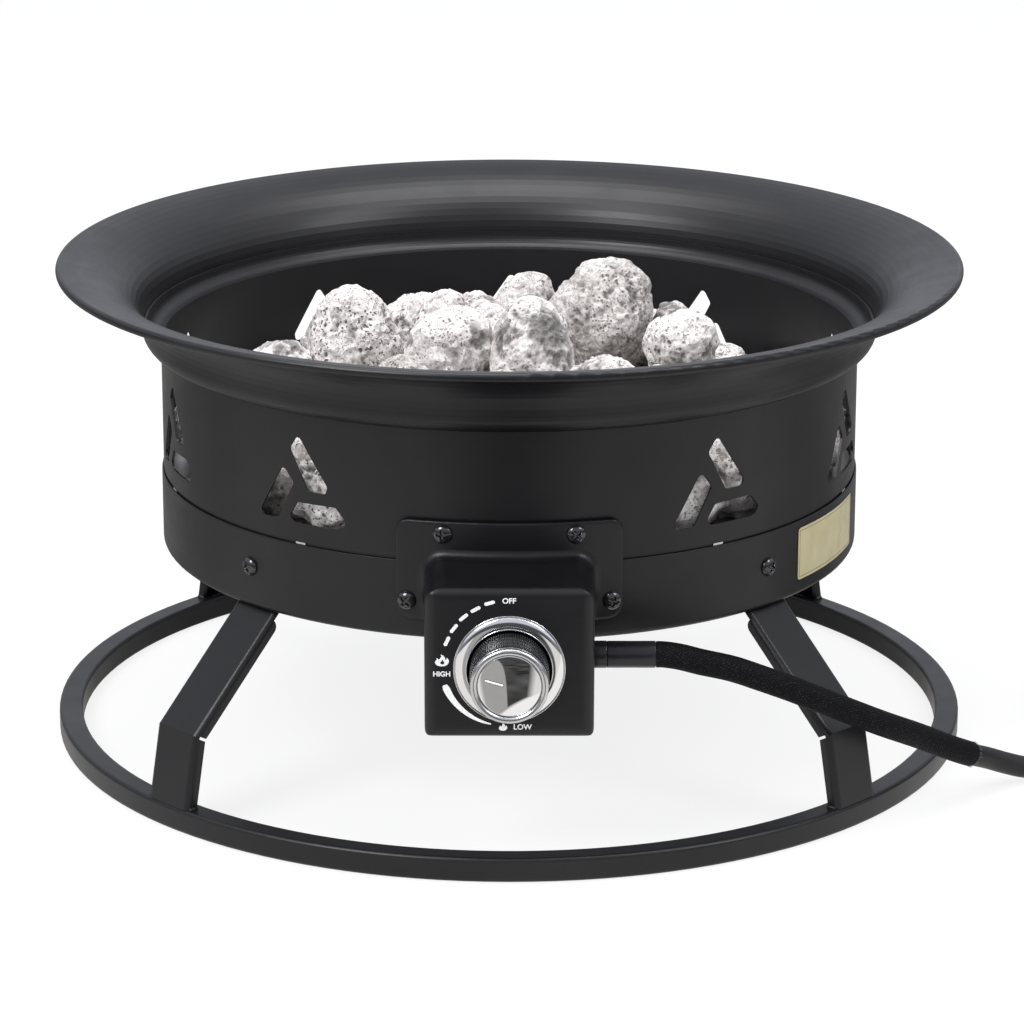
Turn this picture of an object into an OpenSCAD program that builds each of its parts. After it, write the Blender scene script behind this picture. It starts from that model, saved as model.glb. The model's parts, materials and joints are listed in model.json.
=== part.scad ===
// Tabletop gas fire pit: a flared bowl of lava stones over a ring burner, on a
// four-legged ring stand, with a control box at the front and a gas hose.
// The origin is the centre of the ground ring, on the ground. The control box
// faces -Y, and +Z is up.

/* [Ground ring] */
// Outer radius of the ring
ring_r = 246.4; // [235:0.1:270]
// Outside width of the ring's square tube
ring_tube = 12.7; // [10:0.1:20]
// Wall of the ring's tube
ring_wall = 1.5; // [0.8:0.1:2.5]
// Outside corner radius of the ring's tube
ring_corner = 2; // [0.5:0.1:3]

/* [Legs] */
// Width across a leg's face
leg_w = 31; // [26:0.5:45]
// Depth of a leg's side flanges
leg_depth = 6.5; // [6:0.5:10]
// Thickness of the leg's sheet
leg_t = 2.2; // [1.5:0.1:3]
// Outside bend radius along a leg's edges
leg_bend = 3.4; // [3:0.1:4.5]
// Height of the bend between a leg's lower and upper part
leg_kink_z = 51.3; // [40:0.1:60]
// How far the foot of a leg lies inside the ring's outer edge
leg_inset = 0.9; // [0:0.1:3]
// Inward lean of a leg's lower part, in degrees
leg_low_lean = 10.7; // [8:0.1:13]
// How far inside the pan's edge the face of a leg meets the pan
leg_top_inset = 5.1; // [3:0.1:8]
// Length of the tab under the pan
leg_tab_len = 36.4; // [32:0.1:50]
// Width of the slit in a leg's flanges at the bend
leg_slit = 1.4; // [0.6:0.1:3]

/* [Base pan] */
// Height of the pan's underside above the ground
pan_z = 105.6; // [100:0.1:115]
// Outer radius of the pan
pan_r = 187.5; // [180:0.1:195]
// Height of the pan
pan_h = 40.4; // [38:0.1:44]
// Sheet thickness of the pan
pan_wall = 1.2; // [0.8:0.1:2]
// Bend radius round the pan's floor
pan_bend = 3; // [2:0.5:6]
// Radius of the air opening in the pan's floor
pan_air_r = 34; // [20:1:50]
// Radius of the small vents in the pan's floor
pan_vent_r = 5; // [3:0.5:8]
// How many small vents the pan's floor has
pan_vents = 12; // [6:1:16]

/* [Drum] */
// How far the drum's wall lies inside the pan's outside
drum_step = 1; // [0.5:0.1:2]
// Sheet thickness of the drum
drum_wall = 1.2; // [0.8:0.1:1.6]
// Height of the drum's wall, from the seam to its shoulder
drum_h = 69.1; // [66:0.1:80]
// How far the drum's skirt reaches down inside the pan
drum_skirt = 30; // [24:0.5:34]
// Open seam between pan and drum
seam_gap = 1.4; // [1.4:0.1:2.4]

/* [Windows] */
// How many three-bar windows the drum has
window_count = 9; // [5:1:9]
// Angle from one window to the next
window_step = 36.4; // [34:0.1:38]
// Height of a window's lowest edge above the seam
window_rise = 9.6; // [8:0.1:13]
// Corner radius of a window's bars
window_corner = 2.4; // [1:0.1:3]

/* [Rim] */
// Outer radius of the rim's rolled lip
rim_r = 241.3; // [225:0.1:260]
// Height of the rim, from the drum's shoulder to the top of its lip
rim_h = 42.5; // [36:0.1:50]
// Sheet thickness of the rim
rim_wall = 1.2; // [0.8:0.1:1.6]
// How far the rim's neck stands out from the drum's wall
neck_out = 10.1; // [8.5:0.1:12.5]
// Radius of the curl under the neck
curl_r = 9.5; // [8.5:0.1:10]
// Radius of the rolled lip
lip_r = 2.3; // [1.5:0.1:3]

/* [Stone grate] */
// Thickness of the stone grate
grate_t = 1; // [0.6:0.1:1]
// Radius of the grate's holes
grate_hole_r = 5; // [3:0.5:6]
// Width of the grate's tabs
tab_w = 6; // [4:0.5:9]

/* [Lava stones] */
// Gap left between stones that touch
stone_gap = 0.4; // [0.2:0.1:0.8]
// Size of the stones of the bed
bed_stone_r = 27; // [25:0.5:30]
// Size of the small stones along the back wall
back_stone_r = 20; // [17:0.5:22]

/* [Burner] */
// Radius of the ring burner, to the middle of its tube
burner_r = 100; // [70:1:125]
// Outer radius of the burner's tube
burner_tube_r = 7; // [5:0.1:9]
// Wall of the burner's tube
burner_wall = 1; // [0.6:0.1:1.5]
// Height of the burner's middle above the pan's underside
burner_rise = 26.4; // [24:0.1:30]
// How many gas ports the burner has
burner_ports = 36; // [12:1:48]
// Outer radius of the mixer tube
mixer_r = 9.5; // [8.5:0.1:12]

/* [Control housing] */
// Width of the control box
box_w = 83.5; // [76:0.5:90]
// How far the box's face stands out from the pan's wall
box_depth = 48.5; // [47:0.5:57]
// How far the box hangs below the pan's underside
box_drop = 33.6; // [28:0.1:39]
// Height of the box
box_h = 78; // [72:0.5:80]
// Wall of the control housing
box_wall = 2; // [1.5:0.1:3]
// Rounding of the box's upper corners, seen from the front
box_round = 9; // [5:0.5:14]
// Rounding of the box's front edges
box_edge = 5; // [3:0.5:8]
// Half width of the flange on the wall
flange_half_w = 57; // [55:0.5:62]
// Height of the flange
flange_h = 53; // [46:0.5:56]
// Height of the flange's lower edge above the pan's underside
flange_rise = 10.4; // [6:0.1:14]
// Thickness of the flange
flange_t = 2; // [1.5:0.1:3]
// Corner radius of the flange
flange_round = 7; // [3:0.5:10]

/* [Knob and valve] */
// Height of the knob's axis above the box's underside
knob_rise = 36.5; // [34:0.1:39]
// Radius of the knob's grip
grip_r = 19.5; // [18:0.1:19.8]
// Length of the knob's grip
grip_len = 23; // [18:0.5:28]
// Radius of the knob's chrome cap
cap_r = 19.1; // [17:0.1:19.4]
// Thickness of the knob's chrome cap
cap_t = 4.6; // [3:0.1:6]
// Outer radius of the bezel
bezel_r = 27.5; // [26:0.1:32]
// How far the bezel stands off the face
bezel_h = 3; // [2:0.1:5]
// Radius of the well that the knob sinks into
well_r = 20.8; // [20.4:0.1:21.8]
// Depth of the well
well_depth = 6; // [5:0.1:7]
// How far the knob pushes in
push_travel = 3.5; // [1:0.1:4]
// Angle of the knob's pointer at rest, anticlockwise from the right
pointer_angle = 165; // [90:1:270]
// Radius of the valve's stem
stem_r = 4; // [3:0.1:4.5]
// Running clearance round the stem
stem_fit = 0.06; // [0.02:0.01:0.1]

/* [Hose] */
// Outer diameter of the gas hose
hose_d = 11.5; // [10:0.1:12.5]
// Outer diameter of the braided sleeve
sleeve_d = 13.2; // [12.6:0.1:15]
// Outer diameter of the hose's collar
collar_d = 13.4; // [13:0.1:16]
// Length of the hose's collar
collar_len = 24; // [15:0.5:24]
// Distance from turn to turn of the coil
coil_pitch = 12.1; // [12:0.1:12.6]
// Radius of the coil's outermost turn
coil_r = 84.9; // [80:0.1:90]

/* [Regulator] */
// Radius of the regulator's round body
reg_r = 28; // [24:0.5:34]
// Height of the regulator, cover and all
reg_t = 27; // [24:0.5:34]
// Radius of the coupling nut
nut_r = 19; // [16:0.5:20]
// Length of the coupling nut
nut_len = 30; // [24:0.5:36]

/* [Fasteners] */
// Head radius of the round-head screws
screw_head_r = 5; // [4:0.1:5.5]
// Head height of the round-head screws
screw_head_h = 3; // [2:0.1:3.6]
// Shank radius of the screws
screw_r = 2; // [1.5:0.1:2.4]
// Half the width across flats of the nuts
nut_half = 3.5; // [3:0.1:4]
// Thickness of the nuts
nut_t = 3; // [2:0.1:3.5]

/* [Hidden] */
$fn = 96;

fit_gap = 0.3;          // between sheet pieces that nest on a curve
hole_gap = 0.2;         // round a screw or a tab in its hole
eps = 0.01;

// Heights that follow from the stack
pan_top = pan_z + pan_h;
box_z = pan_z - box_drop;
knob_z = box_z + knob_rise;
flange_z = pan_z + flange_rise;
seam_z = pan_top + seam_gap;
shoulder_z = seam_z + drum_h;
lip_top = shoulder_z + rim_h;
tab_gap = 0.1;          // above and below a tab in its slot
grate_z = pan_top + 2 * tab_gap;
grate_top = grate_z + grate_t;
burner_z = pan_z + burner_rise;

// Radii that follow from the nest of pan, drum and rim
drum_r = pan_r - drum_step;
neck_r = drum_r + neck_out;
skirt_r = pan_r - pan_wall - fit_gap;
drum_in_r = drum_r - drum_wall;
curl_z = shoulder_z - rim_wall - fit_gap + curl_r;
curl_centre_r = neck_r - curl_r;
shoulder_r = curl_r - rim_wall - fit_gap;
flange_in_r = pan_r + fit_gap;
box_face = pan_r + box_depth;
nut_seat_r = skirt_r - drum_wall - 0.1;

dark = [0.16, 0.16, 0.17];
grey_steel = [0.62, 0.63, 0.64];
brass_colour = [0.78, 0.62, 0.30];
chrome_colour = [0.83, 0.84, 0.86];
stone_colour = [0.80, 0.78, 0.75];

// ---------- shared shapes ----------

// Points of an arc round (cx, cy), from angle a0 to a1
function arc(cx, cy, r, a0, a1, n) =
    [for (i = [0:n]) let (a = a0 + (a1 - a0) * i / n) [cx + r * cos(a), cy + r * sin(a)]];

function unit(v) = v / norm(v);

// A convex outline with its corners rounded to radius r
function rounded(pts, r, n = 5) = [
    for (i = [0:len(pts) - 1])
        let (
            p = pts[i],
            a = unit(pts[(i + len(pts) - 1) % len(pts)] - p),
            b = unit(pts[(i + 1) % len(pts)] - p),
            half = acos(a * b) / 2,
            c = p + unit(a + b) * r / sin(half),
            start = p + a * r / tan(half) - c,
            stop = p + b * r / tan(half) - c,
            a0 = atan2(start[1], start[0]),
            turn = (atan2(stop[1], stop[0]) - a0 + 540) % 360 - 180
        )
        each arc(c[0], c[1], r, a0, a0 + turn, n)
];

module rounded_rect(w, h, r) {
    polygon(rounded([[-w / 2, 0], [w / 2, 0], [w / 2, h], [-w / 2, h]], r, 6));
}

// A cylinder along +X or +Y from the origin
module rod_x(r, l) rotate([0, 90, 0]) cylinder(r = r, h = l);
module rod_y(r, l) rotate([-90, 0, 0]) cylinder(r = r, h = l);

// Puts its children at angle az round the bowl (0 is the front, + to the right),
// with +X pointing outwards
module at_az(az) rotate([0, 0, az - 90]) children();

// A round-head cross-recess screw along +Z: the head on top, the shank below z = 0
module screw(shank) {
    recess_l = screw_head_r * 1.1;
    recess_w = 1.2;
    difference() {
        union() {
            rotate_extrude() polygon(concat(
                [[0, 0], [screw_head_r, 0]],
                [for (a = [10:20:90]) [screw_head_r * cos(a), screw_head_h * sin(a)]]
            ));
            translate([0, 0, -shank]) cylinder(r = screw_r, h = shank + eps);
        }
        for (a = [0, 90]) rotate([0, 0, a])
            translate([-recess_l / 2, -recess_w / 2, screw_head_h * 0.45])
                cube([recess_l, recess_w, screw_head_h]);
    }
}

// A hexagon nut whose lower face is at z = 0
module nut() {
    difference() {
        cylinder(r = nut_half / cos(30), h = nut_t, $fn = 6);
        translate([0, 0, -1]) cylinder(r = screw_r + 0.02, h = nut_t + 2);
    }
}

// Unit frame across a path at point i: [tangent, side, up]
function path_frame(p, i) =
    let (
        t = unit(p[min(i + 1, len(p) - 1)] - p[max(i - 1, 0)]),
        s = unit(cross(t, [0, 0, 1])),
        u = cross(s, t)
    ) [t, s, u];

// Ring of n points with radius r round point i of a path
function path_ring(p, i, r, n) =
    let (f = path_frame(p, i))
    [for (k = [0:n - 1]) let (a = (k + 0.5) * 360 / n)
        p[i] + r * cos(a) * f[1] + r * sin(a) * f[2]];

// Quads between ring i and ring i + 1 of n points, as triangles
function wall_faces(first, n, rings) = [
    for (i = [0:rings - 2]) for (k = [0:n - 1])
        let (a = first + i * n + k, b = first + i * n + (k + 1) % n)
        each [[a, b, b + n], [a, b + n, a + n]]
];

// A solid tube with n sides along a path
module tube(p, r, n) {
    points = concat([for (i = [0:len(p) - 1]) each path_ring(p, i, r, n)],
        [p[0], p[len(p) - 1]]);
    first_cap = len(p) * n;
    last_ring = (len(p) - 1) * n;
    polyhedron(points, concat(
        wall_faces(0, n, len(p)),
        [for (k = [0:n - 1]) [first_cap, (k + 1) % n, k]],
        [for (k = [0:n - 1]) [first_cap + 1, last_ring + k, last_ring + (k + 1) % n]]
    ));
}

// A hollow tube with n sides along a path
module hollow_tube(p, r_out, r_in, n) {
    rings = len(p);
    count = rings * n;
    last_ring = (rings - 1) * n;
    points = concat(
        [for (i = [0:rings - 1]) each path_ring(p, i, r_out, n)],
        [for (i = [0:rings - 1]) each path_ring(p, i, r_in, n)]
    );
    polyhedron(points, concat(
        wall_faces(0, n, rings),
        [for (f = wall_faces(count, n, rings)) [f[2], f[1], f[0]]],
        [for (k = [0:n - 1]) let (j = (k + 1) % n)
            each [[k, count + k, count + j], [k, count + j, j]]],
        [for (k = [0:n - 1]) let (j = (k + 1) % n, a = last_ring, b = count + last_ring)
            each [[a + k, b + j, b + k], [a + k, a + j, b + j]]]
    ));
}

// ---------- stand ----------

module ring_profile() {
    inner = ring_tube - 2 * ring_wall;
    translate([ring_r - ring_tube / 2, 0]) difference() {
        rounded_rect(ring_tube, ring_tube, ring_corner);
        translate([-inner / 2, ring_wall]) square([inner, inner]);
    }
}

weep_r = 1.6;           // drain hole on the inside of the ring's tube

module ground_ring() {
    color(dark) difference() {
        rotate_extrude($fn = 180) ring_profile();
        at_az(180) translate([ring_r - ring_tube - 1, 0, ring_tube / 2])
            rod_x(weep_r, ring_wall + 2);
    }
}

leg_face_r = ring_r - leg_inset;
leg_top_r = pan_r - leg_top_inset;
leg_tab_r = leg_top_r - leg_tab_len;
leg_kink_y = (leg_kink_z - ring_tube) * tan(leg_low_lean);
leg_top_y = leg_face_r - leg_top_r;
leg_high_lean = atan((leg_top_y - leg_kink_y) / (pan_z - leg_kink_z));
leg_miter = (leg_low_lean + leg_high_lean) / 2;
leg_lap = 0.1;          // how far a leg's two halves run past the bend
leg_screw_edge = 10;    // from the tab's end to its inner screw
leg_screw_pitch = 12;
leg_screw_rs = [leg_tab_r + leg_screw_edge, leg_tab_r + leg_screw_edge + leg_screw_pitch];
leg_reach = 2 * leg_face_r;     // longer than any leg

// Section of a leg: its face at y = 0, its flanges towards +Y
module leg_section() {
    linear_extrude(leg_reach, center = true) difference() {
        intersection() {
            polygon(rounded([[-leg_w / 2, 0], [leg_w / 2, 0],
                [leg_w / 2, leg_depth * 3], [-leg_w / 2, leg_depth * 3]], leg_bend, 6));
            translate([-leg_w, 0]) square([leg_w * 2, leg_depth]);
        }
        translate([-leg_w / 2 + leg_t, leg_t]) square([leg_w - 2 * leg_t, leg_depth]);
    }
}

// Frame at a leg's bend, turned inwards by lean; +Z runs up along the sheet
module at_kink(lean) translate([0, leg_kink_y, leg_kink_z]) rotate([-lean, 0, 0]) children();

// A slab across the leg, drawn as its side view: x runs inwards, y upwards
module across_leg() rotate([90, 0, 90]) linear_extrude(leg_w * 2, center = true) children();

module leg_low() {
    intersection() {
        at_kink(leg_low_lean) leg_section();
        at_kink(leg_miter) translate([-leg_w, -leg_reach, leg_lap - leg_reach])
            cube([leg_w * 2, leg_reach * 2, leg_reach]);
        translate([-leg_w, -leg_reach, ring_tube]) cube([leg_w * 2, leg_reach * 2, leg_reach]);
    }
}

module leg_high() {
    flange_end = (pan_z - leg_kink_z) / cos(leg_high_lean) - 5;
    corner = leg_depth - leg_t;
    intersection() {
        difference() {
            at_kink(leg_high_lean) leg_section();
            at_kink(leg_high_lean) across_leg() polygon(concat(
                [[leg_depth + 1, flange_end - corner]],
                arc(leg_t, flange_end - corner, corner, 0, 90, 5),
                [[leg_t, flange_end + 40], [leg_depth + 1, flange_end + 40]]
            ));
        }
        at_kink(leg_miter) translate([-leg_w, -leg_reach, -leg_lap])
            cube([leg_w * 2, leg_reach * 2, leg_reach]);
        translate([-leg_w, -leg_reach, 0]) cube([leg_w * 2, leg_reach * 2, pan_z]);
    }
}

module leg_tab() {
    reach = leg_face_r - leg_tab_r;
    start = leg_top_y - 0.5;
    difference() {
        translate([-leg_w / 2 + leg_t, start, pan_z - leg_t])
            cube([leg_w - 2 * leg_t, reach - start, leg_t]);
        for (r = leg_screw_rs)
            translate([0, leg_face_r - r, pan_z - leg_t - 1])
                cylinder(r = screw_r + hole_gap, h = leg_t + 2);
    }
}

module leg_slit_cut() {
    at_kink(leg_miter) translate([-leg_w, leg_t + 0.5, -leg_slit / 2])
        cube([leg_w * 2, leg_depth * 2, leg_slit]);
}

// A leg, with its face outwards at angle az
module leg(az) {
    color(dark) rotate([0, 0, az]) translate([0, -leg_face_r, 0]) {
        difference() {
            leg_low();
            leg_slit_cut();
        }
        difference() {
            leg_high();
            leg_slit_cut();
        }
        leg_tab();
    }
}

leg_azimuths = [46.5, 134.6, 225, 314.7];      // the front right one sits a little off 45

module leg_front_right() leg(leg_azimuths[0]);
module leg_rear_right() leg(leg_azimuths[1]);
module leg_rear_left() leg(leg_azimuths[2]);
module leg_front_left() leg(leg_azimuths[3]);

module at_leg_screws() {
    for (a = leg_azimuths, r = leg_screw_rs) at_az(a) translate([r, 0, 0]) children();
}

module leg_screws() {
    shank = leg_t + pan_wall + nut_t + 1;
    color(grey_steel) at_leg_screws()
        translate([0, 0, pan_z - leg_t]) rotate([180, 0, 0]) screw(shank);
}

module leg_nuts() {
    color(grey_steel) at_leg_screws() translate([0, 0, pan_z + pan_wall]) nut();
}

// ---------- pan and drum ----------

skirt_screw_z = pan_z + 21.9;   // the four screws through pan and skirt
skirt_azimuths = [45, 135, 225, 315];
housing_low = [flange_half_w - 5.6, flange_z + 10];     // lower screws: x and height
housing_high = [flange_half_w - 23.8, flange_z + flange_h - 7];     // upper screws
gas_hole_r = 6;                 // passage for the gas tube
lead_x = -24;                   // passage for the ignition lead
lead_hole_r = 2.6;
wall_stack = 5;         // more than pan, gap and skirt together

function housing_az(x) = asin(x / (flange_in_r + flange_t));

module radial_hole(az, z, r, depth = 8) {
    at_az(az) translate([drum_in_r - depth, 0, z]) rod_x(r, depth * 2);
}

module wall_holes() {
    for (a = skirt_azimuths) radial_hole(a, skirt_screw_z, screw_r + hole_gap);
    for (s = [-1, 1]) {
        radial_hole(s * housing_az(housing_low[0]), housing_low[1], screw_r + hole_gap);
        radial_hole(s * housing_az(housing_high[0]), housing_high[1], screw_r + hole_gap);
    }
    for (hole = [[0, gas_hole_r], [lead_x, lead_hole_r]])
        translate([hole[0], -flange_in_r, burner_z]) rod_y(hole[1], pan_bend + wall_stack * 2);
}

burner_azimuths = [60, 180, 300];
post_r = 4;

module base_pan() {
    edge = pan_wall / 2;
    outline = concat(
        [[pan_air_r, pan_z]],
        arc(pan_r - pan_bend, pan_z + pan_bend, pan_bend, -90, 0, 6),
        arc(pan_r - edge, pan_top - edge, edge, 0, 180, 6),
        arc(pan_r - pan_bend, pan_z + pan_bend, pan_bend - pan_wall, 0, -90, 4),
        [[pan_air_r, pan_z + pan_wall]]
    );
    color(dark) difference() {
        rotate_extrude($fn = 180) polygon(outline);
        wall_holes();
        at_leg_screws() translate([0, 0, pan_z - 1]) cylinder(r = screw_r + hole_gap, h = 4);
        for (i = [0:pan_vents - 1]) at_az((i + 0.5) * 360 / pan_vents)
            translate([(pan_air_r + burner_r) / 2, 0, pan_z - 1]) cylinder(r = pan_vent_r, h = 4);
        for (a = burner_azimuths) at_az(a)
            translate([burner_r, 0, pan_z - 1]) cylinder(r = screw_r + hole_gap, h = 4);
    }
}

module pan_screws() {
    color(dark) for (a = skirt_azimuths) at_az(a)
        translate([pan_r + 0.1, 0, skirt_screw_z])
        rotate([0, 90, 0]) screw(pan_r - nut_seat_r + nut_t + 1);
}

module pan_nuts() {
    color(grey_steel) for (a = skirt_azimuths) at_az(a)
        translate([nut_seat_r, 0, skirt_screw_z]) rotate([0, -90, 0]) nut();
}

// The three bars of a window, about its middle, from the window's lowest edge up
window_top = [[-1.2, 47], [-6.8, 38.6], [4.6, 17.6], [15.6, 17.6], [16.4, 21.8]];
window_left = [[-11, 29.4], [-4, 20.6], [-14.6, 0.9], [-24.6, -0.1], [-26.6, 3.2]];
window_low = [[-2, 11.1], [21, 11.8], [27.4, 4.6], [24, 0], [-4.4, 0], [-7, 3.4]];

module window_cut() {
    rotate([90, 0, 90]) linear_extrude(14)
        for (bar = [window_top, window_left, window_low]) polygon(rounded(bar, window_corner));
}

function window_az(i) = 180 + (i - (window_count - 1) / 2) * window_step;

module drum() {
    outline = concat(
        [[skirt_r, seam_z - drum_skirt], [skirt_r, seam_z], [drum_r, seam_z],
            [drum_r, curl_z - shoulder_r]],
        arc(curl_centre_r, curl_z, shoulder_r, -90, 0, 8),
        [[curl_centre_r + shoulder_r, curl_z + 1.8],
            [curl_centre_r + shoulder_r - drum_wall, curl_z + 1.8]],
        arc(curl_centre_r, curl_z, shoulder_r - drum_wall, 0, -90, 8),
        [[drum_in_r, curl_z - shoulder_r + drum_wall], [drum_in_r, seam_z],
            [skirt_r - drum_wall, seam_z], [skirt_r - drum_wall, seam_z - drum_skirt]]
    );
    color(dark) difference() {
        rotate_extrude($fn = 180) polygon(outline);
        for (i = [0:window_count - 1]) at_az(window_az(i)) {
            translate([drum_in_r - 8, 0, seam_z + window_rise]) window_cut();
            translate([drum_in_r - 4, -tab_w / 2 - hole_gap, grate_z - tab_gap])
                cube([10, tab_w + 2 * hole_gap, grate_t + 2 * tab_gap]);
        }
        wall_holes();
    }
}

flare_turn = 80;        // how far the flare's curve turns from upright
lip_centre = [rim_r - lip_r, lip_top - lip_r];
flare_start = curl_z + 1;
flare_w = (lip_centre[0] - neck_r + rim_wall / 2) / (1 - cos(flare_turn));
flare_h = (lip_top - rim_wall / 2 - flare_start) / sin(flare_turn);

// One side of the flare's sheet, off mm outwards from its middle line
function flare(off) = [
    for (i = [0:14]) let (
        a = flare_turn * i / 14,
        n = unit([flare_h * cos(a), -flare_w * sin(a)])
    ) [neck_r - rim_wall / 2 + flare_w * (1 - cos(a)), flare_start + flare_h * sin(a)] + off * n
];

module flared_rim() {
    half = rim_wall / 2;
    inner_side = flare(-half);
    outline = concat(
        flare(half),
        [for (i = [len(inner_side) - 1:-1:0]) inner_side[i]],
        arc(curl_centre_r, curl_z, curl_r - rim_wall, 0, -90, 8),
        arc(curl_centre_r, curl_z, curl_r, -90, 0, 8)
    );
    color(dark) rotate_extrude($fn = 180) union() {
        polygon(outline);
        translate(lip_centre) circle(r = lip_r, $fn = 24);
    }
}

// ---------- stone grate ----------

grate_rings = [[40, 6], [75, 12], [110, 18], [145, 24]];    // radius and holes of each ring

module stone_grate() {
    color(grey_steel) translate([0, 0, grate_z]) difference() {
        union() {
            cylinder(r = skirt_r - drum_wall - fit_gap, h = grate_t, $fn = 180);
            for (i = [0:window_count - 1]) at_az(window_az(i))
                translate([drum_in_r - 20, -tab_w / 2, 0])
                    cube([20 + drum_wall + hole_gap, tab_w, grate_t]);
        }
        for (g = grate_rings) for (i = [0:g[1] - 1]) at_az((i + 0.5) * 360 / g[1])
            translate([g[0], 0, -1]) cylinder(r = grate_hole_r, h = grate_t + 2, $fn = 32);
    }
}

// ---------- lava stones ----------

// A stone is [middle, half sizes, turn about Z, rings of its grid]. Each stone
// ends where a neighbour's begins, so stones touch over flats and never cross.

bed_floor = grate_top + fit_gap;
stone_wall_r = nut_seat_r - nut_t - 1.4;     // clear of the nuts on the wall
back_from = 100;        // past this angle from the front the wall stones are small

// A row of n stones at radius r, with a size that varies a little
function stone_row(r, n, z, size, turn) = [
    for (i = [0:n - 1]) let (
        a = turn + i * 360 / n,
        k = sin(i * 137.5 + n * 40),
        from_front = abs((a + 180) % 360 - 180),
        small = r > 140 && from_front > back_from,
        s = small ? back_stone_r : size
    ) [
        [(r + 3 * k) * sin(a), -(r + 3 * k) * cos(a), bed_floor + (small ? z - 7 : z) + k],
        [s * (1 + 0.08 * k), s * (1 - 0.06 * k), s * (0.95 + 0.05 * cos(i * 211))],
        i * 67, 5
    ]
];

bed_row_r = stone_wall_r - 22.3;        // radius of the row along the wall

bed = concat(
    stone_row(bed_row_r, 22, 21, bed_stone_r, 0),
    stone_row(bed_row_r - 42, 15, 22, bed_stone_r, 10),
    stone_row(bed_row_r - 87, 9, 21, bed_stone_r, 20),
    stone_row(bed_row_r - 132, 4, 22, bed_stone_r, 30)
);

// The stones of the heap, placed by hand above the bed's floor
heap = [
    [[-83, -12, 65.5], [27, 25, 31], 10, 7],
    [[-31, -36, 65.5], [26, 25, 27], 40, 7],
    [[13, -46, 67.5], [24, 24, 31], 20, 7],
    [[51, 32, 68], [30, 27, 34], 0, 7],
    [[91, -8, 61], [19, 20, 22], 50, 7],
    [[88, 34, 60.5], [16, 16, 17], 15, 6],
    [[-36, 14, 63.5], [24, 18, 25], 70, 7],
    [[9, 62, 61.5], [19, 18, 26], 0, 6],
    [[-9, 30, 60], [17, 17, 20], 25, 6],
    [[-122, -26, 54.5], [17, 18, 19], 60, 6],
    [[48, -84, 56.5], [21, 20, 23], 35, 7],
    [[76, -70, 51], [19, 20, 20], 80, 6],
    [[-55, -92, 56.5], [21, 20, 22], 15, 7],
    [[-4, -96, 51], [21, 21, 23], 50, 6],
    [[-98, -66, 47], [22, 21, 21], 25, 6],
    [[-92, 44, 51.5], [22, 21, 18], 5, 6],
    [[-52, 72, 51], [23, 22, 21], 45, 6],
    [[-16, 98, 47], [21, 20, 18], 20, 6],
    [[42, 92, 49], [23, 22, 22], 75, 6],
    [[84, 72, 46.5], [20, 20, 17], 30, 6],
    [[122, 8, 30.5], [18, 20, 13], 10, 6]
];
stones = concat(bed, [for (s = heap) [s[0] + [0, 0, bed_floor], s[1], s[2], s[3]]]);

// Reach of stone s from its middle along the unit vector d, lumps and all
function stone_reach(s, d) =
    let (
        a = s[2],
        v = [d[0] * cos(a) + d[1] * sin(a), d[1] * cos(a) - d[0] * sin(a), d[2]],
        q = [v[0] / s[1][0], v[1] / s[1][1], v[2] / s[1][2]],
        lump = 0.05 * sin(v[0] * 170 + a * 7) + 0.05 * sin(v[1] * 190 - a * 3)
            + 0.04 * cos(v[2] * 230 + a * 5)
    ) (1 + lump) / norm(q);

// The planes that part stone i from the neighbours it could meet: [normal, distance]
function stone_planes(i) = [
    for (j = [0:len(stones) - 1])
        let (between = stones[j][0] - stones[i][0], dist = norm(between))
        if (j != i && dist < 75)
            let (
                n = between / dist,
                mine = stone_reach(stones[i], n),
                theirs = stone_reach(stones[j], -n)
            )
            if (dist < 1.5 * (mine + theirs))
                [n, dist * mine / (mine + theirs) - stone_gap / 2]
];

// Distance from p to the bowl's wall along d
function wall_reach(p, d) =
    let (
        a = d[0] * d[0] + d[1] * d[1],
        b = p[0] * d[0] + p[1] * d[1],
        c = p[0] * p[0] + p[1] * p[1] - stone_wall_r * stone_wall_r
    ) a < 0.001 ? 1000 : (-b + sqrt(b * b - a * c)) / a;

function stone_radius(s, planes, d) = min(concat(
    [stone_reach(s, d), wall_reach(s[0], d)],
    [d[2] < -0.01 ? (bed_floor - s[0][2]) / d[2] : 1000],
    [for (p = planes) let (c = p[0] * d) if (c > 0.01) p[1] / c]
));

module stone(i) {
    s = stones[i];
    planes = stone_planes(i);
    rows = s[3];
    cols = rows + 3;
    dirs = concat(
        [[0, 0, -1]],
        [for (r = [1:rows - 1]) for (c = [0:cols - 1])
            let (lat = -90 + 180 * r / rows, lon = (c + r / 2) * 360 / cols)
            [cos(lat) * cos(lon), cos(lat) * sin(lon), sin(lat)]],
        [[0, 0, 1]]
    );
    points = [for (d = dirs) s[0] + d * stone_radius(s, planes, d)];
    top = len(dirs) - 1;
    last = top - cols;
    polyhedron(points, concat(
        [for (c = [0:cols - 1]) [0, 1 + c, 1 + (c + 1) % cols]],
        [for (r = [0:rows - 3]) for (c = [0:cols - 1])
            let (a = 1 + r * cols + c, b = 1 + r * cols + (c + 1) % cols)
            each [[a, a + cols, b], [b, a + cols, b + cols]]],
        [for (c = [0:cols - 1]) [top, last + (c + 1) % cols, last + c]]
    ));
}

module lava_stones_bed() {
    color(stone_colour) for (i = [0:len(bed) - 1]) stone(i);
}

module lava_stones_heap() {
    color(stone_colour) for (i = [len(bed):len(stones) - 1]) stone(i);
}

// ---------- burner ----------

feed_len = 12;          // stub on the front of the burner
mixer_len = 46;
mixer_start = burner_r + burner_tube_r + feed_len;      // distance of its inner end
mixer_end = mixer_start + mixer_len;
jet_r = 4.5;
gas_tube_r = 4;
port_r = 1.1;

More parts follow.
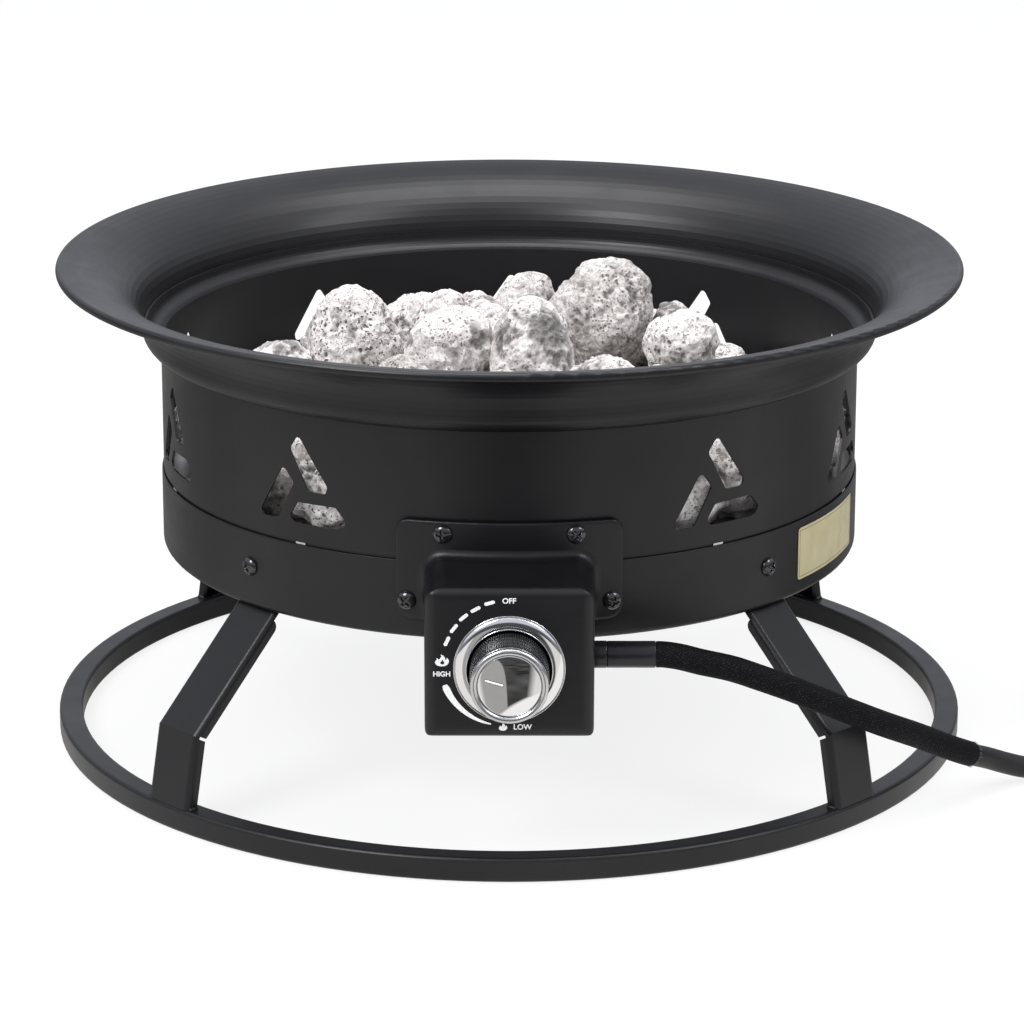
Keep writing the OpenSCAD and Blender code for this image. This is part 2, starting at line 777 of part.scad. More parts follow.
module ring_burner() {
    stub = burner_tube_r + feed_len + 1;
    inner_r = burner_tube_r - burner_wall;
    color(grey_steel) translate([0, 0, burner_z]) difference() {
        union() {
            rotate_extrude($fn = 120) translate([burner_r, 0]) circle(r = burner_tube_r, $fn = 32);
            translate([0, -burner_r - stub + 1, 0]) rod_y(burner_tube_r - 0.5, stub - 1);
        }
        rotate_extrude($fn = 120) translate([burner_r, 0]) circle(r = inner_r, $fn = 32);
        translate([0, -burner_r - stub, 0]) rod_y(inner_r - 0.5, stub);
        for (i = [0:burner_ports - 1]) at_az((i + 0.5) * 360 / burner_ports)
            translate([burner_r, 0, 0]) cylinder(r = port_r, h = burner_tube_r + 1, $fn = 16);
    }
}

module burner_posts() {
    bottom = pan_z + pan_wall;
    top = burner_z - burner_tube_r;
    color(grey_steel) for (a = burner_azimuths) at_az(a) translate([burner_r, 0, bottom])
        difference() {
            cylinder(r = post_r, h = top - bottom - 0.1);
            translate([0, 0, -1]) cylinder(r = screw_r + 0.02, h = 9);
        }
}

module burner_screws() {
    color(grey_steel) for (a = burner_azimuths) at_az(a) translate([burner_r, 0, pan_z - 0.1])
        rotate([180, 0, 0]) screw(7);
}

module mixer_tube() {
    window_l = 14;
    window_w = 9;
    color(grey_steel) translate([0, -mixer_start, burner_z]) rotate([90, 0, 0]) difference() {
        union() {
            cylinder(r = mixer_r, h = mixer_len);
            translate([0, 0, mixer_len - 2]) cylinder(r = mixer_r + 1.5, h = 2);
        }
        translate([0, 0, 2]) cylinder(r = mixer_r - 1.2, h = mixer_len - 4);
        translate([0, 0, -1]) cylinder(r = burner_tube_r - 2, h = 6);
        translate([0, 0, mixer_len - 3]) cylinder(r = jet_r + stem_fit, h = 5);
        for (a = [0, 180]) rotate([0, 0, a])
            translate([0, -window_w / 2, mixer_len - window_l - 6])
                cube([mixer_r + 2, window_w, window_l]);
    }
}

module jet_nozzle() {
    jet_len = 14;
    color(brass_colour) translate([0, -mixer_end + jet_len / 2, burner_z]) rotate([90, 0, 0])
        difference() {
            union() {
                cylinder(r = jet_r, h = jet_len);
                translate([0, 0, jet_len / 2 + 0.2]) cylinder(r = jet_r + 1.6, h = 4, $fn = 6);
            }
            translate([0, 0, 2]) cylinder(r = 1.5, h = jet_len);
            translate([0, 0, -1]) cylinder(r = 0.6, h = 5, $fn = 16);
        }
}

gas_tube_end = mixer_end + 7;        // where the gas tube meets the jet

module gas_tube() {
    bore = 2.6;
    color([0.80, 0.81, 0.83]) difference() {
        translate([0, -valve_outlet_y, burner_z]) rod_y(gas_tube_r, valve_outlet_y - gas_tube_end);
        translate([0, -valve_outlet_y - 1, burner_z]) rod_y(bore, valve_outlet_y - gas_tube_end + 2);
    }
}

// ---------- igniter ----------

spark_at = [lead_x, -burner_r - 12, burner_z + 2];     // where the electrode points
insulator_r = 3;
electrode_r = 1;
insulator_len = 14;
insulator_z = pan_z + pan_wall + 4;

module electrode_bracket() {
    hole = insulator_r + hole_gap;
    color(grey_steel) translate([spark_at[0], spark_at[1], pan_z + pan_wall]) difference() {
        union() {
            translate([-6, -14, 0]) cube([12, 24, 1.2]);
            translate([-6, -6, 0]) cube([12, 12, 6]);
        }
        translate([0, 0, 1.2]) cylinder(r = hole, h = 6);
    }
}

module electrode_insulator() {
    color("white") translate([spark_at[0], spark_at[1], insulator_z - 2.7]) difference() {
        cylinder(r = insulator_r, h = insulator_len);
        translate([0, 0, -1]) cylinder(r = electrode_r + 0.05, h = insulator_len + 2);
    }
}

module igniter_electrode() {
    top = burner_z + 4;
    color(grey_steel) translate([spark_at[0], spark_at[1], insulator_z - 2.4]) {
        cylinder(r = electrode_r, h = top - insulator_z + 2.4);
        translate([0, 0, top - insulator_z + 2.4 - electrode_r]) rod_y(electrode_r, 5);
    }
}

// The lead runs from the igniter through the wall to the electrode's insulator
lead_outside = [
    [11.3, -4.5, -20], [7, -4.5, -19.5], [3, -5, -15], [0, -5.8, -8],
    [0, -4.5, -2], [0, 0.5, 0], [0, 9.5, 0]
];
lead_inside = [[0, -52, -1], [0, -38, -5], [0, -26, -11], [0, -16, -15.5], [0, -9, -17.4], [0, -3.2, -17.5]];
lead_route = concat(
    [for (p = lead_outside) [lead_x, -pan_r, burner_z] + p],
    [for (p = lead_inside) [lead_x, spark_at[1], burner_z] + p]
);

module ignition_lead() {
    color("black") tube(lead_route, 1.2, 8);
}

igniter_r = 11;
igniter_len = 6;

module rotary_igniter() {
    color([0.1, 0.1, 0.1]) translate([0, -valve_rear + 0.1, knob_z]) rod_y(igniter_r, igniter_len);
}

// ---------- control housing ----------

box_top = box_z + box_h;
box_back = pan_r - 5.5; // the part under the pan reaches back to here
panel_y = -box_face;
floor_y = panel_y + well_depth;        // front side of the well's floor
bezel_hole_r = well_r;
port_y = panel_y + 29;  // hose axis
port_z = knob_z - 2.5;
valve_screw_x = 13;

// A block with the housing's roundings, drawn in by `inset` on every side
module box_block(inset) {
    w = box_w - 2 * inset;
    h = box_h - 2 * inset;
    depth = box_face - box_back - inset;
    top_r = box_round - inset * 0.6;
    edge = box_edge - inset * 0.6;
    low = 3 - inset;
    front = [for (p = rounded([[-w / 2, 0], [w / 2, 0], [w / 2, h + 20], [-w / 2, h + 20]],
        max(low, 1), 4)) if (p[1] < h / 2) p];
    top = [for (p = rounded([[-w / 2, -20], [w / 2, -20], [w / 2, h], [-w / 2, h]],
        top_r, 7)) if (p[1] > h / 2) p];
    translate([0, panel_y + inset, box_z + inset]) intersection() {
        rotate([90, 0, 0]) translate([0, 0, -depth]) linear_extrude(depth)
            polygon(concat(front, top));
        translate([0, 0, -1]) linear_extrude(h + 2) intersection() {
            rounded_rect(w, depth * 2, edge);
            translate([-w, 0]) square([w * 2, depth]);
        }
        rotate([90, 0, 90]) translate([0, 0, -w]) linear_extrude(w * 2) intersection() {
            polygon(rounded([[0, 0], [depth * 2, 0], [depth * 2, h], [0, h]], edge, 6));
            translate([0, 0]) square([depth, h]);
        }
    }
}

module curved_flange() {
    intersection() {
        difference() {
            cylinder(r = flange_in_r + flange_t, h = 300, $fn = 180);
            translate([0, 0, -1]) cylinder(r = flange_in_r, h = 302, $fn = 180);
        }
        translate([0, 0, flange_z]) rotate([90, 0, 0])
            linear_extrude(300) rounded_rect(flange_half_w * 2, flange_h, flange_round);
    }
}

module control_housing() {
    inside_w = box_w - 2 * box_wall;
    inside_z = box_z + box_wall;
    ledge_z = pan_z - fit_gap - box_wall;
    color(dark) difference() {
        union() {
            difference() {
                union() {
                    box_block(0);
                    curved_flange();
                }
                difference() {
                    box_block(box_wall);
                    translate([-box_w, -flange_in_r - 1, ledge_z]) cube([box_w * 2, 30, pan_z - ledge_z]);
                    translate([-box_w, -box_back - box_wall, 0]) cube([box_w * 2, 20, pan_z]);
                }
                translate([-inside_w / 2, -flange_in_r - 1, pan_z - fit_gap])
                    cube([inside_w, 30, box_top - box_wall - pan_z + fit_gap]);
                translate([0, 0, pan_z - fit_gap]) cylinder(r = flange_in_r, h = 100, $fn = 180);
            }
            translate([0, panel_y + eps, knob_z]) rod_y(well_r + box_wall, well_depth + box_wall);
        }
        translate([0, panel_y - 1, knob_z]) rod_y(well_r, well_depth + 1);
        translate([0, panel_y, knob_z]) rod_y(stem_r + 2, well_depth + box_wall + 1);
        for (s = [-1, 1]) {
            translate([s * valve_screw_x, panel_y, knob_z])
                rod_y(screw_r + hole_gap, well_depth + box_wall + 1);
            for (p = [housing_low, housing_high]) radial_hole(s * housing_az(p[0]), p[1], screw_r + hole_gap);
        }
        translate([0, port_y, port_z]) rod_x(collar_d / 2 + hole_gap, box_w);
    }
}

module at_housing_screws(r) {
    for (s = [-1, 1], p = [housing_low, housing_high])
        at_az(s * housing_az(p[0])) translate([r, 0, p[1]]) children();
}

module housing_screws() {
    head_r = flange_in_r + flange_t + 0.1;
    shank = head_r - nut_seat_r + nut_t + 1;
    color(dark) at_housing_screws(head_r) rotate([0, 90, 0]) screw(shank);
}

module housing_nuts() {
    color(grey_steel) at_housing_screws(nut_seat_r) rotate([0, -90, 0]) nut();
}

module dial_bezel() {
    outline = concat(
        [[bezel_hole_r, 0.1], [bezel_r, 0.1], [bezel_r, 1]],
        arc(bezel_r - 1, bezel_h - 1, 1, 0, 90, 4),
        arc(bezel_r - 3.5, bezel_h + 3.4, 4.3, -100 + 40, -100, 5),
        [[bezel_hole_r + 1, bezel_h - 1.2], [bezel_hole_r + 0.8, bezel_h - 0.2],
            [bezel_hole_r, bezel_h - 0.2]]
    );
    color(chrome_colour) translate([0, panel_y, knob_z]) rotate([90, 0, 0])
        rotate_extrude($fn = 120) polygon(outline);
}

// ---------- valve ----------

valve_front = floor_y + box_wall;          // y of the valve flange's front
bonnet_r = 9.5;
chamber_r = 7.6;
chamber_front = valve_front + 2;
chamber_len = 13;
block_y = chamber_front + chamber_len;     // front of the valve's block
block_len = 18;
block_half = 13;
valve_rear = -(block_y + block_len);
block_top = burner_z + 7;
valve_inlet_x = 30;
valve_outlet_y = valve_rear - 0.1;
outlet_r = 2;

module valve_body() {
    stem_end = block_y + 10;
    color([0.72, 0.70, 0.66]) difference() {
        union() {
            translate([-valve_screw_x - 5, valve_front + 0.1, knob_z - 7])
                cube([2 * valve_screw_x + 10, 3, 14]);
            translate([0, valve_front + 0.1, knob_z]) rod_y(bonnet_r, block_y - valve_front);
            translate([-block_half, block_y, port_z - 11])
                cube([2 * block_half, block_len, block_top - port_z + 11]);
            translate([0, port_y, port_z]) rod_x(8, valve_inlet_x);
        }
        translate([0, chamber_front, knob_z]) rod_y(chamber_r, chamber_len);
        translate([0, valve_front - 1, knob_z]) rod_y(stem_r + stem_fit, stem_end - valve_front + 1);
        translate([0, port_y, port_z]) rod_x(3.5, valve_inlet_x + 1);
        translate([0, port_y, port_z]) cylinder(r = outlet_r, h = burner_z - port_z);
        translate([0, port_y - outlet_r, burner_z]) rod_y(outlet_r, 30);
        for (s = [-1, 1]) translate([s * valve_screw_x, valve_front - 1, knob_z]) rod_y(screw_r + 0.02, 6);
    }
}

module valve_screws() {
    color(grey_steel) for (s = [-1, 1])
        translate([s * valve_screw_x, floor_y - 0.1, knob_z]) rotate([90, 0, 0])
            scale(0.62) screw(7);
}

stem_front = panel_y - grip_len + 4;       // the stem ends inside the knob's hub

module valve_stem() {
    color(grey_steel) difference() {
        translate([0, stem_front, knob_z]) rod_y(stem_r, block_y + 6 - stem_front);
        translate([-stem_r, stem_front - 1, knob_z + stem_r * 0.6])
            cube([stem_r * 2, panel_y + well_depth - stem_front - push_travel - 1, stem_r]);
    }
}

collar_y = chamber_front + 0.3;
collar_t = 2;

module stem_collar() {
    color(grey_steel) translate([0, collar_y, knob_z]) difference() {
        rod_y(chamber_r - 1, collar_t);
        translate([0, -1, 0]) rod_y(stem_r + stem_fit, collar_t + 2);
    }
}

spring_turns = 4;
spring_wire_r = 0.45;
spring_r = (stem_r + chamber_r) / 2;

module return_spring() {
    start = collar_y + collar_t + spring_wire_r + 0.05;
    stop = chamber_front + chamber_len - spring_wire_r - 0.05;
    steps = spring_turns * 8;
    path = [for (i = [0:steps]) let (a = i * 45)
        [spring_r * cos(a), spring_r * sin(a), (stop - start) * i / steps]];
    color(grey_steel) translate([0, start, knob_z]) rotate([-90, 0, 0])
        tube(path, spring_wire_r, 6);
}

// ---------- knob ----------

grip_back = panel_y + 1;                   // the grip's rear sits inside the well
grip_front = grip_back - grip_len;
hub_r = 7;

module knob_grip() {
    wall = 2.4;
    web = 2.5;
    color([0.1, 0.1, 0.1]) difference() {
        union() {
            difference() {
                translate([0, grip_front, knob_z]) rod_y(grip_r, grip_len);
                translate([0, grip_front + web, knob_z]) rod_y(grip_r - wall, grip_len);
            }
            translate([0, grip_front, knob_z]) rod_y(hub_r, grip_len);
        }
        difference() {
            translate([0, stem_front - 0.2, knob_z]) rod_y(stem_r + stem_fit, grip_len);
            translate([-stem_r - 1, grip_front, knob_z + stem_r * 0.6 + stem_fit])
                cube([stem_r * 2 + 2, grip_len - 1.5, stem_r]);
        }
    }
}

module knob_cap() {
    dome_r = cap_r - 3.6;
    outline = concat(
        [[0, 0], [cap_r, 0], [cap_r, cap_t - 1.2]],
        arc(cap_r - 1.2, cap_t - 1.2, 1.2, 10, 90, 4),
        [[dome_r, cap_t], [dome_r, cap_t - 0.6]],
        [for (i = [1:6]) let (r = dome_r * (1 - i / 6)) [r, cap_t - 0.6 + 0.5 * (1 - pow(r / dome_r, 2))]]
    );
    color(chrome_colour) translate([0, grip_front - 0.02, knob_z]) rotate([90, 0, 0]) difference() {
        rotate_extrude() polygon(outline);
        rotate([0, 0, pointer_angle]) translate([2.3, -0.7, cap_t - 0.6]) cube([dome_r - 4.6, 1.4, 2]);
    }
}

// ---------- hose and regulator ----------

box_side = box_w / 2;
collar_start = box_side + 6.8;
sleeve_start = collar_start + collar_len + 0.2;
hose_lie = 5.8;          // height of a hose that lies on the ground
coil_mid = [385, 0];
coil_half = 3.125;       // turns in each of the coil's two layers
coil_steps = 24;         // rings in one turn
coil_climb = 0.5;        // turns taken by the climb to the upper layer

module hose_connector() {
    color(brass_colour) difference() {
        translate([0, port_y, port_z]) union() {
            translate([valve_inlet_x + 0.1, 0, 0]) rotate([0, 90, 0]) cylinder(r = 7.5, h = 6, $fn = 6);
            translate([valve_inlet_x + 0.1, 0, 0]) rod_x(5, collar_start - valve_inlet_x - 0.1);
        }
        translate([valve_inlet_x - 1, port_y, port_z]) rod_x(3, 40);
    }
}

module hose_nut() {
    color(dark) translate([box_side + 0.1, port_y, port_z]) difference() {
        rod_x(collar_d / 2 + 0.1, 6.5);
        translate([-1, 0, 0]) rod_x(5 + fit_gap / 2, 9);
    }
}

module hose_collar() {
    color([0.12, 0.12, 0.13]) translate([collar_start, port_y, port_z]) difference() {
        rod_x(collar_d / 2, collar_len);
        translate([-1, 0, 0]) rod_x(hose_d / 2 + 0.2, collar_len + 2);
    }
}

// The hose's way from the collar down past the front leg to the ground
hose_route = [
    [collar_start, port_y, port_z], [collar_start + collar_len / 2, port_y, port_z],
    [sleeve_start, port_y, port_z], [sleeve_start + 3, port_y, port_z],
    [84, -206.3, 104.6], [95, -204, 101],
    [111, -200, 96], [126, -196, 89.5], [141, -191.5, 82.5], [156, -187, 75], [172, -181, 66.5], [189, -171, 56.5], [211, -151, 42], [229, -136, 30],
    [240, -126, 23], [251, -116, 16.8], [261, -110, 11.8], [272, -105.5, 7.8],
    [286, -101, 6.2], [303, -95, hose_lie], [322, -89.5, hose_lie], [342, -86, hose_lie],
    [coil_mid[0] - 2 * hose_d, coil_mid[1] - coil_r, hose_lie],
    [coil_mid[0] - hose_d, coil_mid[1] - coil_r, hose_lie]
];
sleeve_from = 2;         // route points between which the braided sleeve lies
sleeve_to = 14;

module gas_hose() {
    color([0.13, 0.13, 0.14]) tube(hose_route, hose_d / 2, 8);
}

module braided_sleeve() {
    part = [for (i = [sleeve_from:sleeve_to]) hose_route[i]];
    color([0.1, 0.1, 0.11]) hollow_tube(part, sleeve_d / 2, hose_d / 2 + 0.15, 8);
}

// The coil spirals in along the ground, climbs, and spirals out on top
function coil_point(t) =
    let (
        r = coil_r - coil_pitch * (coil_half - abs(t - coil_half)),
        a = -90 + 360 * t,
        up = max(0, min(1, (t - coil_half) / coil_climb + 0.5))
    ) [coil_mid[0] + r * cos(a), coil_mid[1] + r * sin(a), hose_lie + coil_pitch * up];

coil_count = round(2 * coil_half * coil_steps);
coil_turns = [for (i = [0:coil_count]) coil_point(i / coil_steps)];
coil_end = coil_turns[coil_count];
coil_path = concat(
    [coil_turns[0] - [hose_d, 0, 0]], coil_turns, [coil_end + [0, hose_d, 0]]
);
coil_gap = min([for (i = [0:coil_count]) for (j = [i + coil_steps / 2:coil_count + 2])
    norm(coil_path[i] - coil_path[j])]) - hose_d;

module gas_hose_coil() {
    echo(coil_gap = coil_gap);
    color([0.13, 0.13, 0.14]) tube(coil_path, hose_d / 2, 6);
}

reg_axis_z = nut_r + 0.1;
reg_boss_r = 7.2;
reg_boss_len = 6;        // how far the bosses stand out of the round body
reg_below = 12;          // depth of the body under the hose's axis
reg_split = reg_boss_r + 0.4;
tail_start = coil_end + [0, hose_d, 0];
tail_len = 64;
ferrule_len = 22;
ferrule_hex = 5;
ferrule_y = tail_start[1] + tail_len;
reg_x = coil_end[0];
reg_y = ferrule_y + ferrule_len + ferrule_hex + 0.1 + reg_boss_len + reg_r;
nipple_y = reg_y + reg_r + reg_boss_len + 0.1;
nipple_len = 36;
nipple_r = 6;
nut_back = 3;            // thickness of the coupling nut's back wall
nut_y = nipple_y + 2;
nut_bore_r = nut_r - 5;

module gas_hose_tail() {
    bend_len = tail_len - 2 * hose_d;
    rise = reg_axis_z - tail_start[2];
    bend = [for (i = [0:4]) let (k = i / 4)
        tail_start + [0, hose_d + bend_len * k, rise * (1 - cos(180 * k)) / 2]];
    path = concat([tail_start], bend, [tail_start + [0, tail_len, rise]]);
    color([0.13, 0.13, 0.14]) tube(path, hose_d / 2, 8);
}

module hose_ferrule() {
    color(brass_colour) translate([reg_x, ferrule_y, reg_axis_z]) {
        rod_y(hose_d / 2 + 1.2, ferrule_len);
        translate([0, ferrule_len - eps, 0]) rotate([-90, 0, 0])
            cylinder(r = 7.4, h = ferrule_hex, $fn = 6);
    }
}

module regulator_body() {
    foot = reg_axis_z - 0.2;
    color([0.55, 0.56, 0.57]) translate([reg_x, reg_y, reg_axis_z]) {
        translate([0, 0, -reg_below]) cylinder(r = reg_r, h = reg_below + reg_split);
        translate([0, -reg_r - reg_boss_len, 0]) rod_y(reg_boss_r, 2 * (reg_r + reg_boss_len));
        translate([0, 0, -foot]) cylinder(r = reg_r * 0.5, h = foot);
    }
}

module regulator_cover() {
    h = max(reg_t - reg_below - reg_split, 4);
    rise = h - 2;
    color(dark) translate([reg_x, reg_y, reg_axis_z + reg_split + 0.1])
        rotate_extrude() polygon(concat(
            [[0, 0], [reg_r + 1.5, 0], [reg_r + 1.5, 2.5], [reg_r - 3, 3.2]],
            arc(reg_r - 9, rise, 2, 30, 90, 4),
            [[0, h]]
        ));
}

module regulator_nipple() {
    seat = nut_y - nipple_y + nut_back + 0.3;
    outline = [[0, 0], [nipple_r, 0], [nipple_r, seat], [nut_bore_r - 0.6, seat],
        [nut_bore_r - 0.6, seat + 3], [nipple_r, seat + 3], [nipple_r, seat + 15],
        [nipple_r - 1, seat + 16], [nipple_r - 1, seat + 20], [nipple_r - 2.5, nipple_len],
        [1.5, nipple_len], [1.5, 4], [0, 4]];
    color(brass_colour) translate([reg_x, nipple_y, reg_axis_z]) rotate([-90, 0, 0])
        rotate_extrude() polygon(outline);
}

module coupling_nut() {
    ribs = 12;
    rib_w = 4;
    color([0.08, 0.08, 0.08]) translate([reg_x, nut_y, reg_axis_z]) rotate([-90, 0, 0])
        difference() {
            union() {
                cylinder(r = nut_r - 1.5, h = nut_len);
                intersection() {
                    cylinder(r = nut_r, h = nut_len - 4);
                    for (i = [0:ribs - 1]) rotate([0, 0, i * 360 / ribs])
                        translate([nut_r - 4, -rib_w / 2, 0]) cube([5, rib_w, nut_len]);
                }
            }
            translate([0, 0, nut_back]) cylinder(r = nut_bore_r, h = nut_len);
            translate([0, 0, -1]) cylinder(r = nipple_r + 0.08, h = nut_back + 2);
        }
}

// ---------- foil patch ----------

patch_az = [52.6, 74.5];       // from left edge to right edge
patch_z = [pan_z + 8.4, pan_top - 4];
patch_t = 0.2;
patch_r = pan_r + 0.15;

module foil_patch() {
    middle = (patch_az[0] + patch_az[1]) / 2;
    half_w = (patch_r + patch_t) * sin((patch_az[1] - patch_az[0]) / 2);
    color([0.80, 0.74, 0.50]) intersection() {
        difference() {
            cylinder(r = patch_r + patch_t, h = 200, $fn = 180);
            translate([0, 0, -1]) cylinder(r = patch_r, h = 202, $fn = 180);
        }
        at_az(middle) translate([0, -half_w, patch_z[0]])
            cube([pan_r * 2, 2 * half_w, patch_z[1] - patch_z[0]]);
    }
}

ground_ring();
leg_front_right();
leg_rear_right();
leg_rear_left();
leg_front_left();
leg_screws();
leg_nuts();
base_pan();
pan_screws();
pan_nuts();
drum();
flared_rim();
stone_grate();
lava_stones_bed();
lava_stones_heap();
ring_burner();
burner_posts();
burner_screws();
mixer_tube();
jet_nozzle();
gas_tube();
electrode_bracket();
electrode_insulator();
igniter_electrode();
ignition_lead();
rotary_igniter();
control_housing();
housing_screws();
housing_nuts();
dial_bezel();
valve_body();
valve_screws();
valve_stem();
stem_collar();
return_spring();
knob_grip();
knob_cap();
hose_connector();
hose_nut();
hose_collar();
braided_sleeve();
gas_hose();
gas_hose_coil();
gas_hose_tail();
hose_ferrule();
regulator_body();
regulator_cover();
regulator_nipple();
coupling_nut();
foil_patch();
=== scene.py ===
import bpy
import bmesh
import json
import math
import random
import numpy as np
from mathutils import Matrix, Vector, noise


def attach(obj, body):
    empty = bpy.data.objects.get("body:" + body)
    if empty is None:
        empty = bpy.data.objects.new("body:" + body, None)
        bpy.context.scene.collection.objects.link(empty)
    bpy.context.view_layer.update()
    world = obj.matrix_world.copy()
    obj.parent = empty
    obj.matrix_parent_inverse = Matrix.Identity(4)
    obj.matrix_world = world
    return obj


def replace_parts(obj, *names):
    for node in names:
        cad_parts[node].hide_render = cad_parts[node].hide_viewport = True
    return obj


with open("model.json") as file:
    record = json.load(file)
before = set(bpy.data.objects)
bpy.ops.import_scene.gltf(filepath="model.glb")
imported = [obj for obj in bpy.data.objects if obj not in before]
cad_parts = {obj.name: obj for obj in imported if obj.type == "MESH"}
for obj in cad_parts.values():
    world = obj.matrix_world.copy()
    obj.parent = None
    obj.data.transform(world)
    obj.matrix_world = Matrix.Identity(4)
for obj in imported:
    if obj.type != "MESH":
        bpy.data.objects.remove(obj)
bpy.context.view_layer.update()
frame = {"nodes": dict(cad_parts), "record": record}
NODES = frame["nodes"]
MM = 0.001


# ---------- camera ----------

PICTURE_PX = 1024
SENSOR_MM = 36
FOCAL_PX = 4029.90
AXIS_PX = (505.51, 468.54)      # where the optical axis meets the picture
EYE = Vector((-2.0, -2094.1, 767.4)) * MM
LOOK = Vector((0, 0.95793, -0.28699)).normalized()
ROLL = 0.0011

level_right = Vector((1, 0, 0))
level_up = level_right.cross(LOOK)
RIGHT = level_right * math.cos(ROLL) + level_up * math.sin(ROLL)
UP = level_up * math.cos(ROLL) - level_right * math.sin(ROLL)

cam_data = bpy.data.cameras.new("camera")
cam_data.sensor_width = SENSOR_MM
cam_data.lens = FOCAL_PX * SENSOR_MM / PICTURE_PX
cam_data.shift_x = (PICTURE_PX / 2 - AXIS_PX[0]) / PICTURE_PX
cam_data.shift_y = (AXIS_PX[1] - PICTURE_PX / 2) / PICTURE_PX
cam_data.clip_start = 0.05
cam_data.clip_end = 60
camera = bpy.data.objects.new("camera", cam_data)
bpy.context.scene.collection.objects.link(camera)
camera.matrix_world = Matrix((
    (RIGHT.x, UP.x, -LOOK.x, EYE.x),
    (RIGHT.y, UP.y, -LOOK.y, EYE.y),
    (RIGHT.z, UP.z, -LOOK.z, EYE.z),
    (0, 0, 0, 1),
))
bpy.context.scene.camera = camera
bpy.context.scene.view_settings.view_transform = "Standard"


def on_plane_y(px, py, y):
    """The point on the plane of that y, in metres, which the picture shows at a pixel."""
    ray = LOOK + RIGHT * ((px - AXIS_PX[0]) / FOCAL_PX) + UP * ((AXIS_PX[1] - py) / FOCAL_PX)
    return EYE + ray * ((y - EYE.y) / ray.y)


# ---------- sizes that several sections share, in millimetres ----------

HOSE_D = 11.5
BRAID_STRANDS, BRAID_TURNS_PER_METRE = 26, 360
PAN_R = 187.5
FLANGE_OUT = 189.8              # the outer face of the control housing's curved flange
KNOB_Z, FACE_Y = 108.5, -236.0
PATCH_FROM, PATCH_TO = math.radians(52.6), math.radians(74.5)
PATCH_R, PATCH_THICK, PATCH_CORNER = 187.65, 0.2, 1.6
PATCH_LOW, PATCH_HIGH = 114.0, 142.0
PATCH_LONG = (PATCH_TO - PATCH_FROM) * PATCH_R


# ---------- mesh helpers ----------

def link(name, data):
    """A new object for that data, in the scene."""
    obj = bpy.data.objects.new(name, data)
    bpy.context.scene.collection.objects.link(obj)
    return obj


def piece_of(name, mesh, slot, material=None, body="pit"):
    """A finished mesh as a piece of the slot's material, or of its own, which rides on a body."""
    mesh.materials.clear()
    mesh.materials.append(material or MATERIAL[slot])
    obj = link(name, mesh)
    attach(obj, body)
    return obj


def shade_smooth(mesh):
    mesh.polygons.foreach_set("use_smooth", [True] * len(mesh.polygons))


def new_piece(name, verts, faces, slot, material=None, body="pit", uvs=None):
    """A smooth-shaded piece from points in metres and faces."""
    mesh = bpy.data.meshes.new(name)
    mesh.from_pydata([tuple(v) for v in verts], [], faces)
    mesh.validate()
    mesh.update()
    if uvs is not None:
        layer = mesh.uv_layers.new(name="UVMap")
        for corner, mapped in zip(mesh.loops, layer.data):
            mapped.uv = uvs[corner.vertex_index]
    shade_smooth(mesh)
    return piece_of(name, mesh, slot, material, body)


def wrap_faces(base, steps, sides):
    """Faces between closed rings of points that follow each other."""
    return [(base + i * sides + j, base + i * sides + (j + 1) % sides,
             base + (i + 1) * sides + (j + 1) % sides, base + (i + 1) * sides + j)
            for i in range(steps) for j in range(sides)]


def sharpen(obj, degrees):
    """Edges sharper than that angle stay crisp, and the rest is shaded smooth."""
    obj.data.set_sharp_from_angle(angle=math.radians(degrees))
    return obj


def welded(mesh, reach):
    """A bmesh of a mesh in which points that fall together are one."""
    bm = bmesh.new()
    bm.from_mesh(mesh)
    bmesh.ops.remove_doubles(bm, verts=bm.verts, dist=reach)
    return bm


def store(bm, mesh):
    bm.to_mesh(mesh)
    bm.free()


def basis(axis, up=(0, 0, 1)):
    """Two directions square to an axis and to each other, and the axis itself."""
    w = Vector(axis).normalized()
    u = Vector(up).cross(w)
    if u.length < 1e-6:
        u = Vector((1, 0, 0)).cross(w)
    u.normalize()
    return u, w.cross(u), w


def lathe(profile, origin, axis, segments, bump=None):
    """Turns (radius, height) points in mm round an axis; bump(angle, row, height) adds to a radius."""
    u, v, w = basis(axis)
    verts, faces = [], []
    n = len(profile)
    for i in range(segments):
        a = 2 * math.pi * i / segments
        d = u * math.cos(a) + v * math.sin(a)
        for j, (r, h) in enumerate(profile):
            out = r + (bump(a, j, h) if bump else 0)
            verts.append(Vector(origin) + (d * out + w * h) * MM)
    for i in range(segments):
        k = (i + 1) % segments
        for j in range(n - 1):
            faces.append((i * n + j, k * n + j, k * n + j + 1, i * n + j + 1))
    return verts, faces


def arc_points(cx, cy, r, a0, a1, n):
    """Points of an arc about a centre, from one angle to another in degrees."""
    angles = [math.radians(a0 + (a1 - a0) * i / n) for i in range(n + 1)]
    return [(cx + r * math.cos(a), cy + r * math.sin(a)) for a in angles]


def frames_along(path):
    """Tangent, side and up at each point of a path, turning as little as can be."""
    out = []
    side = None
    for i, p in enumerate(path):
        t = (path[min(i + 1, len(path) - 1)] - path[max(i - 1, 0)]).normalized()
        if side is None:
            side = t.cross(Vector((0, 0, 1))).normalized()
        side = (side - t * side.dot(t)).normalized()
        out.append((t, side, side.cross(t)))
    return out


